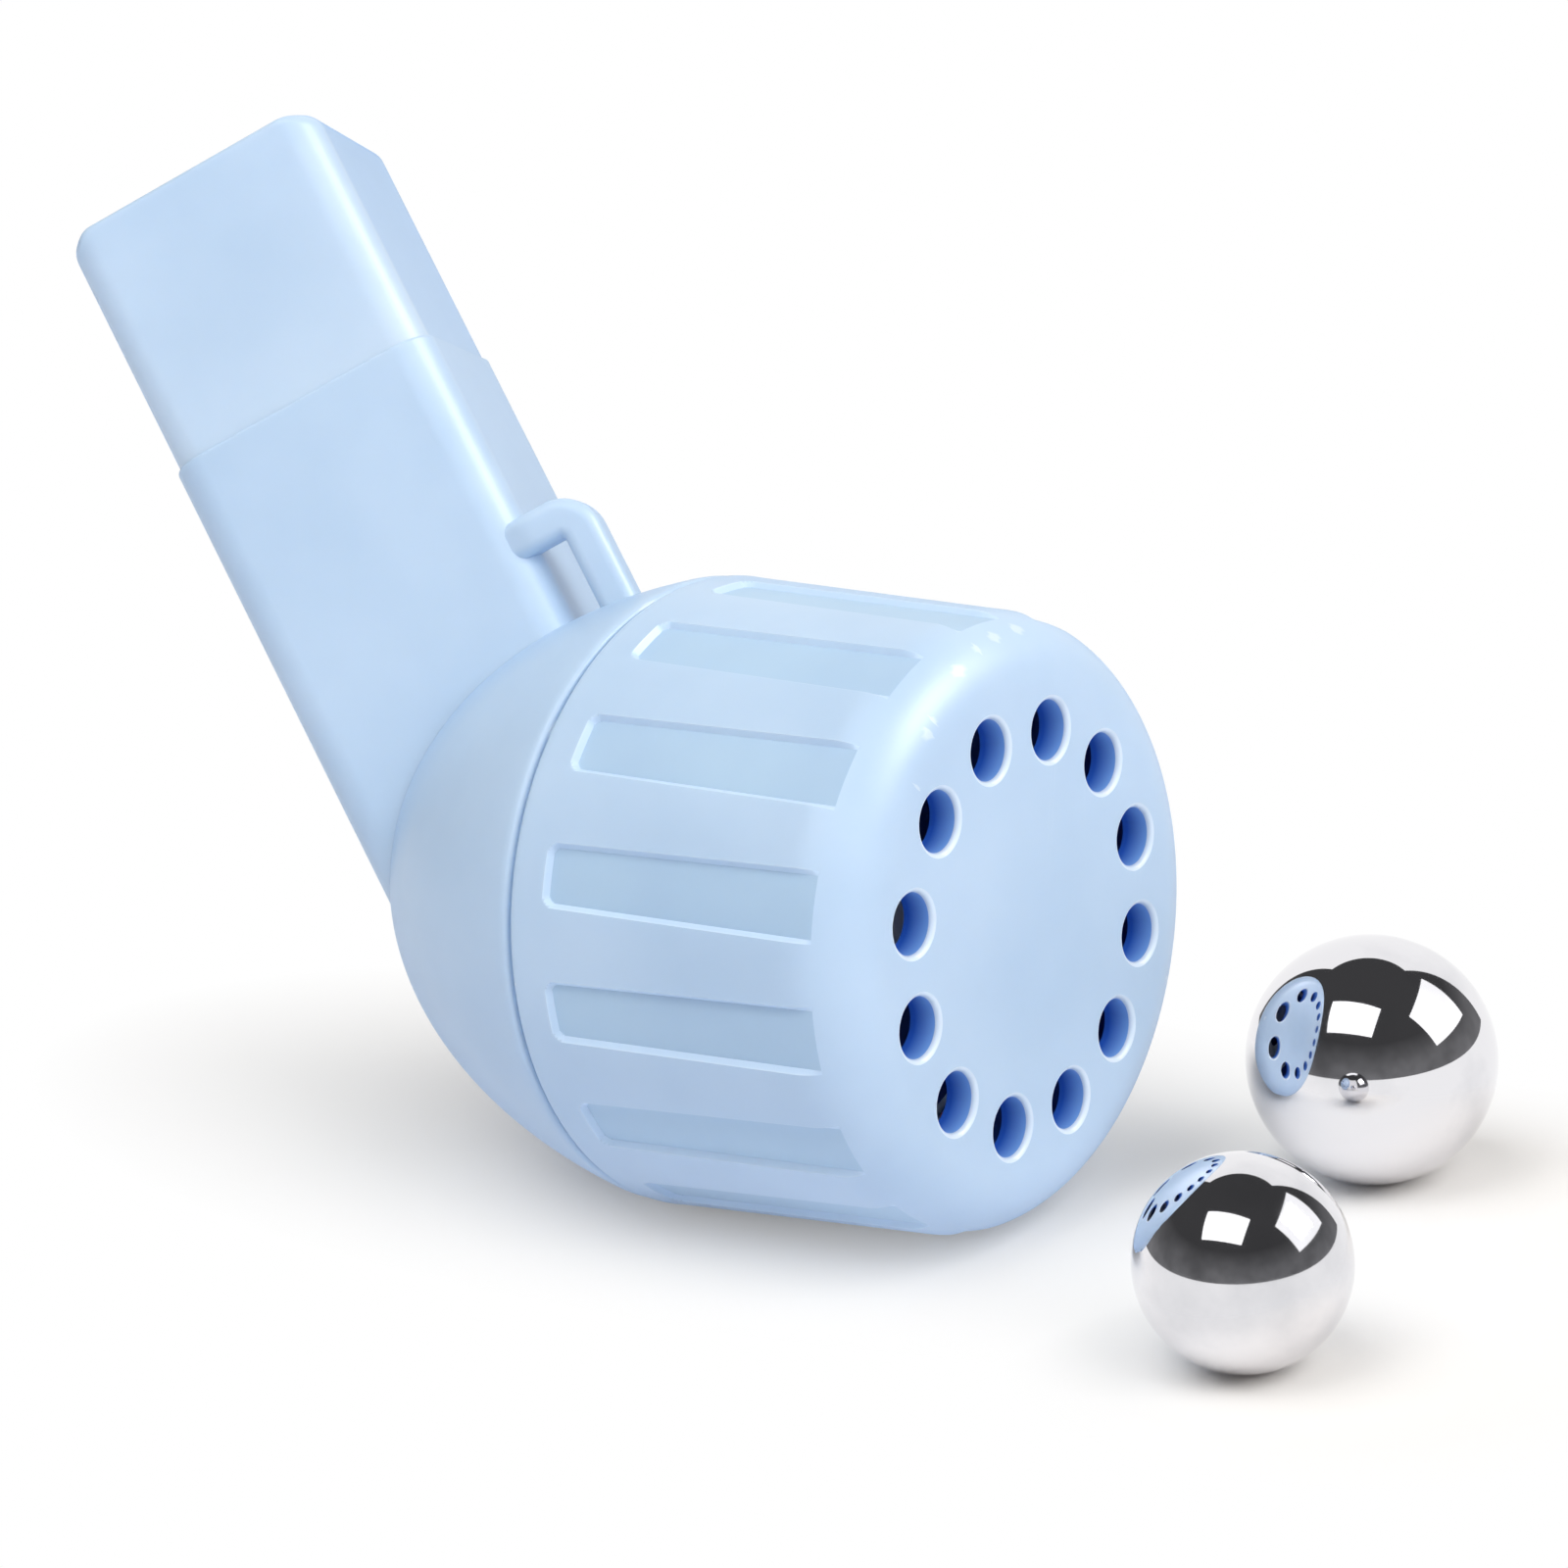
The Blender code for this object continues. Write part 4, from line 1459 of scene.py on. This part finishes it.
@dataclass
class Funnel:
    """Loose funnel that the ball rattles in, with a rounded rim and a lip under its flange."""

    layout: Layout
    top: float = -25.0
    length: float = 18.0
    mouth: float = 16.2
    throat: float = 6.0
    outer: float = 19.0
    flange: float = 1.6
    wall: float = 1.5
    soft: float = 0.35
    tip_rise: float = 0.9
    columns: int = 200

    def build(self) -> Piece:
        """Make and dress the funnel.

        Returns:
            The funnel, riding on its body.
        """
        slope = (self.mouth - self.throat) / self.length
        thickness = self.wall * math.hypot(1, slope)
        soft, low = self.soft, self.top - self.flange
        tip = (self.throat + thickness / 2, self.top - self.length + self.tip_rise)
        profile = [(self.mouth, self.top - soft), (self.mouth + soft, self.top)]
        profile += arc((self.outer - soft, self.top - soft), soft, 90, 0, 6)
        profile += arc((self.outer - soft, low + soft), soft, 0, -90, 6)
        profile += [(self.mouth - slope * self.flange + thickness, low)]
        profile += arc(tip, thickness / 2, 0, -180, 10)
        piece = turned("ball_funnel", profile, self.columns)
        coat(piece, PALE)
        smooth(piece)
        return dress(piece, self.layout.head(), "funnel", "ball_cone")


@dataclass
class Seal:
    """Soft flat ring between the neck and the lip inside the cap."""

    layout: Layout
    inner: float = 19.6
    outer: float = 21.8
    bottom: float = -15.1
    thickness: float = 1.4
    soft: float = 0.4
    columns: int = 200

    def build(self) -> Piece:
        """Make and dress the seal.

        Returns:
            The seal, riding on its body.
        """
        soft = self.soft
        high, low = self.bottom + self.thickness - soft, self.bottom + soft
        inner, outer = self.inner + soft, self.outer - soft
        corners = (((inner, high), 180, 90), ((outer, high), 90, 0), ((outer, low), 0, -90))
        corners += (((inner, low), 270, 180),)
        profile = [point for middle, *turn in corners for point in arc(middle, soft, *turn, 5)]
        piece = turned("seal_ring", profile, self.columns)
        coat(piece, RUBBER)
        smooth(piece)
        return dress(piece, self.layout.head(), "seal", "cap_seal")


@dataclass
class Ball:
    """Mirror-polished steel ball."""

    node: str
    body: str

    def build(self) -> Piece:
        """Make and dress the ball.

        Returns:
            The ball, riding on its body.
        """
        low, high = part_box(self.node)
        centre, radius = (low + high) / 2, (high.z - low.z) / 2
        shape = bmesh.new()
        bmesh.ops.create_icosphere(shape, subdivisions=6, radius=radius, matrix=Matrix.Translation(centre))
        piece = to_object(self.node + "_polished", shape)
        coat(piece, STEEL)
        smooth(piece, weighted=False)
        return dress(piece, Matrix.Identity(4), self.body, self.node)


# The studio


@dataclass(frozen=True)
class Hung:
    """A lamp or a pane that looks at the object.

    The azimuth runs in degrees from +X towards +Y, and sizes and the distance are metres. The level is a
    lamp's watts, or a pane's brightness where one is the white background. Mirrors see it if it is shown.
    """

    name: str
    azimuth: float
    elevation: float
    size: Pair
    level: float
    distance: float = 1.3
    shown: bool = True


LAMPS = (
    Hung("right soft box", 30, 34, (1.1, 0.8), 3.3),
    Hung("front soft box", -82, 56, (1.0, 0.7), 3.4),
    Hung("key light", -10, 40, (0.8, 0.8), 8.8, shown=False),
    Hung("high light", -120, 66, (1.0, 1.0), 6.5, shown=False),
)
PANE = Hung("right pane", 28, 36, (0.5, 0.5), 13.0, distance=1.2)


def direction(azimuth: float, elevation: float) -> Vector:
    """Give the unit vector to a place in the room, from angles in degrees."""
    across, rise = math.radians(azimuth), math.radians(elevation)
    return Vector((math.cos(across) * math.cos(rise), math.sin(across) * math.cos(rise), math.sin(rise)))


def start_studio_finish(name: str) -> tuple[Material, NodeSheet, Socket]:
    """Start a material of the studio, which has no shader yet.

    Args:
        name: Name of the material.

    Returns:
        The material, its sheet and the input that its shader goes into.
    """
    made, sheet, shader = start_finish(name, (255, 255, 255))
    sheet.tree.nodes.remove(shader)
    return made, sheet, sheet.tree.nodes["Material Output"].inputs["Surface"]


@dataclass
class Studio:
    """White floor, a dark room that only reflections see, lamps, a bright pane and an even sky.

    Each shadow place is an ellipse of the floor: its middle and its half sizes in millimetres, and the
    least share of plain white in it. The studio's own sizes are metres, and its angles degrees.
    """

    middle: tuple[float, float, float] = (0.01, 0.0, 0.02)
    floor_size: float = 8.0
    sky_level: float = 0.2
    shadow_places: tuple[tuple[Pair, Pair, float], ...] = (
        ((-8, 8), (84, 38), 0.14), ((48, 21), (26, 22), 0.0), ((57, -14), (23, 19), 0.0)
    )
    shadow_core: float = 0.35
    bounce_tint: tuple[float, ...] = (0.79, 0.83, 0.93, 1.0)
    seen_tint: tuple[float, ...] = (0.93, 0.908, 0.88, 1.0)
    room_radius: float = 3.0
    room_columns: int = 72
    room_rows: int = 24
    room_foot: float = -4.0
    backdrop_span: Pair = (75, 155)
    backdrop_top: float = 54.0
    low_wall_top: float = 1.6
    wall_colour: tuple[float, ...] = (0.05, 0.05, 0.052, 1.0)
    low_wall_colour: tuple[float, ...] = (0.3, 0.3, 0.31, 1.0)

    def build(self) -> None:
        """Build floor, room, lamps and world."""
        self.floor()
        self.room()
        for lamp in LAMPS:
            self.lamp(lamp)
        self.pane(PANE)
        self.sky()

    def place(self, azimuth: float, elevation: float, distance: float) -> Vector:
        """Give a place in the room, seen from its middle."""
        return Vector(self.middle) + direction(azimuth, elevation) * distance

    def floor(self) -> None:
        """Lay a white floor that keeps the object's shadow and fades to pure white away from it."""
        shape = bmesh.new()
        bmesh.ops.create_grid(shape, x_segments=1, y_segments=1, size=self.floor_size / 2)
        piece = to_object("studio_floor", shape)
        bpy.context.scene.collection.objects.link(piece)
        piece.data.materials.append(self.floor_finish())

    def floor_finish(self) -> Material:
        """Make the floor's material: lit paint near the object and plain white further out.

        Returns:
            The finished material.
        """
        made, sheet, surface = start_studio_finish("studio floor")
        spot = sheet.node("ShaderNodeTexCoord").outputs["Object"]
        fades = []
        for middle, reach, lightest in self.shadow_places:
            away = self.away_from(sheet, spot, middle, reach)
            fades.append(sheet.spread(away, (self.shadow_core, 1.0), (lightest, 1.0)))
        fade = fades[0]
        for other in fades[1:]:
            fade = sheet.maths("MINIMUM", fade, other)
        seen, shown = sheet.looks()
        paint = sheet.node("ShaderNodeBsdfDiffuse")
        sheet.feed(paint, Color=sheet.blend(seen, self.bounce_tint, self.seen_tint))
        mix = sheet.node("ShaderNodeMixShader")
        sheet.wire(sheet.maths("MULTIPLY", fade, shown), mix.inputs[0])
        sheet.wire(paint.outputs[0], mix.inputs[1])
        sheet.wire(sheet.glow(), mix.inputs[2])
        sheet.wire(mix.outputs[0], surface)
        return made

    def away_from(self, sheet: NodeSheet, spot: Socket, middle: Pair, reach: Pair) -> Socket:
        """Measure how far a spot of the floor lies from a place, where one is the edge of an ellipse.

        Args:
            sheet: The floor's node tree.
            spot: Coordinates on the floor.
            middle: The ellipse's middle in millimetres.
            reach: Its half sizes in millimetres.

        Returns:
            The socket with the distance.
        """
        for operation, (x, y), z in (("SUBTRACT", middle, 0), ("DIVIDE", reach, 1)):
            moved = sheet.node("ShaderNodeVectorMath", operation=operation)
            sheet.wire(spot, moved.inputs[0])
            moved.inputs[1].default_value = (x * MM, y * MM, z)
            spot = moved.outputs[0]
        away = sheet.node("ShaderNodeVectorMath", operation="LENGTH")
        sheet.wire(spot, away.inputs[0])
        return away.outputs["Value"]

    def room(self) -> None:
        """Raise the dark room in front of the white backdrop; only reflections see it."""
        shape = bmesh.new()
        rows, columns = self.room_rows, self.room_columns
        rises = [self.room_foot + (90 - self.room_foot) * row / rows for row in range(rows + 1)]
        turns = [360 * turn / columns for turn in range(columns)]
        grid = [
            [shape.verts.new(self.place(turn, rise, self.room_radius)) for turn in turns] for rise in rises
        ]
        for row in range(rows):
            rise = self.room_foot + (90 - self.room_foot) * (row + 0.5) / rows
            for turn in range(columns):
                azimuth = 360 * (turn + 0.5) / columns
                if self.backdrop_span[0] < azimuth < self.backdrop_span[1] and rise < self.backdrop_top:
                    continue
                after, low, high = (turn + 1) % columns, grid[row], grid[row + 1]
                shape.faces.new([low[turn], low[after], high[after], high[turn]])
        bmesh.ops.remove_doubles(shape, verts=shape.verts, dist=0.0001)
        self.show_in_mirrors(to_object("studio_room", shape), self.room_finish())

    def room_finish(self) -> Material:
        """Make the room's dark walls, a little lighter near the floor.

        Returns:
            The finished material.
        """
        made, sheet, surface = start_studio_finish("studio room")
        place = sheet.node("ShaderNodeNewGeometry").outputs["Position"]
        low = sheet.spread(sheet.coordinate(place, "Z"), (0.0, self.low_wall_top), (1.0, 0.0))
        share = sheet.maths("MULTIPLY", low, sheet.noise(place, 0.8, 2.0))
        colour = sheet.blend(share, self.wall_colour, self.low_wall_colour)
        sheet.wire(sheet.glow(Color=colour), surface)
        return made

    def lamp(self, hung: Hung) -> None:
        """Hang a soft box.

        Args:
            hung: Its place, size and level.
        """
        data = bpy.data.lights.new(hung.name, "AREA")
        data.shape = "RECTANGLE"
        data.size, data.size_y = hung.size
        data.energy = hung.level
        lamp = bpy.data.objects.new(hung.name, data)
        towards = direction(hung.azimuth, hung.elevation)
        lamp.location = self.place(hung.azimuth, hung.elevation, hung.distance)
        lamp.rotation_euler = towards.to_track_quat("Z", "Y").to_euler()
        lamp.visible_glossy = hung.shown
        bpy.context.scene.collection.objects.link(lamp)

    def pane(self, hung: Hung) -> None:
        """Hang a bright pane that only reflections see, for the sharp lines of light on round edges.

        Args:
            hung: Its place, size and level.
        """
        towards = direction(hung.azimuth, hung.elevation)
        turn = towards.to_track_quat("Z", "Y").to_matrix().to_4x4()
        stretch = Matrix.Diagonal((*hung.size, 1, 1))
        middle = self.place(hung.azimuth, hung.elevation, hung.distance)
        place = Matrix.Translation(middle) @ turn @ stretch
        shape = bmesh.new()
        bmesh.ops.create_grid(shape, x_segments=1, y_segments=1, size=0.5, matrix=place)
        made, sheet, surface = start_studio_finish(hung.name)
        sheet.wire(sheet.glow(Strength=hung.level), surface)
        self.show_in_mirrors(to_object(hung.name, shape), made)

    def show_in_mirrors(self, piece: Piece, finish: Material) -> None:
        """Stage a piece of the studio that nothing but a reflection shows.

        Args:
            piece: The piece, in the scene's own frame.
            finish: Its material.
        """
        piece.data.materials.append(finish)
        bpy.context.scene.collection.objects.link(piece)
        for kind in ("camera", "diffuse", "transmission", "shadow", "volume_scatter"):
            setattr(piece, f"visible_{kind}", False)

    def sky(self) -> None:
        """Light the scene evenly, and show plain white where a camera or a mirror sees the sky."""
        world = bpy.data.worlds.new("studio sky")
        world.use_nodes = True
        bpy.context.scene.world = world
        sheet = NodeSheet(world.node_tree)
        level = sheet.spread(sheet.looks()[1], (0.0, 1.0), (self.sky_level, 1.0))
        sheet.feed(world.node_tree.nodes["Background"], Color=(1.0, 1.0, 1.0, 1.0), Strength=level)


@dataclass
class PhotoCamera:
    """Camera at the photograph's angle, placed from the cap's front middle."""

    front: Vector
    offset: tuple[float, float, float] = (149.33, -206.88, 74.89)
    right: tuple[float, float, float] = (0.7807, 0.6181, -0.0913)
    up: tuple[float, float, float] = (-0.0786, 0.2421, 0.9671)
    lens: float = 83.27
    sensor: float = 36.0

    def build(self) -> None:
        """Make the camera and hand it to the scene."""
        data = bpy.data.cameras.new("photo_camera")
        data.lens = self.lens
        data.sensor_width = self.sensor
        data.clip_start = 0.01
        camera = bpy.data.objects.new("photo_camera", data)
        across = Vector(self.right).normalized()
        back = across.cross(Vector(self.up)).normalized()
        rise = back.cross(across)
        turn = Matrix((across, rise, back)).transposed().to_4x4()
        camera.matrix_world = Matrix.Translation(self.front + Vector(self.offset) * MM) @ turn
        bpy.context.scene.collection.objects.link(camera)
        bpy.context.scene.camera = camera


def main() -> None:
    """Build the camera, the pieces and the studio in order."""
    logging.basicConfig(level=logging.INFO, format="%(name)s: %(message)s")
    bpy.context.scene.view_settings.view_transform = "Standard"
    layout = Layout()
    bowl = Bowl(layout)
    stem = Stem(layout, bowl)
    balls = (Ball("large_ball", "heavy_ball"), Ball("small_ball", "light_ball"))
    pieces = (Cap(layout), bowl, stem, Mouthpiece(layout, stem), Funnel(layout), Seal(layout), *balls)
    for job in (PhotoCamera(layout.front), *pieces, Studio()):
        job.build()


if __name__ == "__main__":
    main()
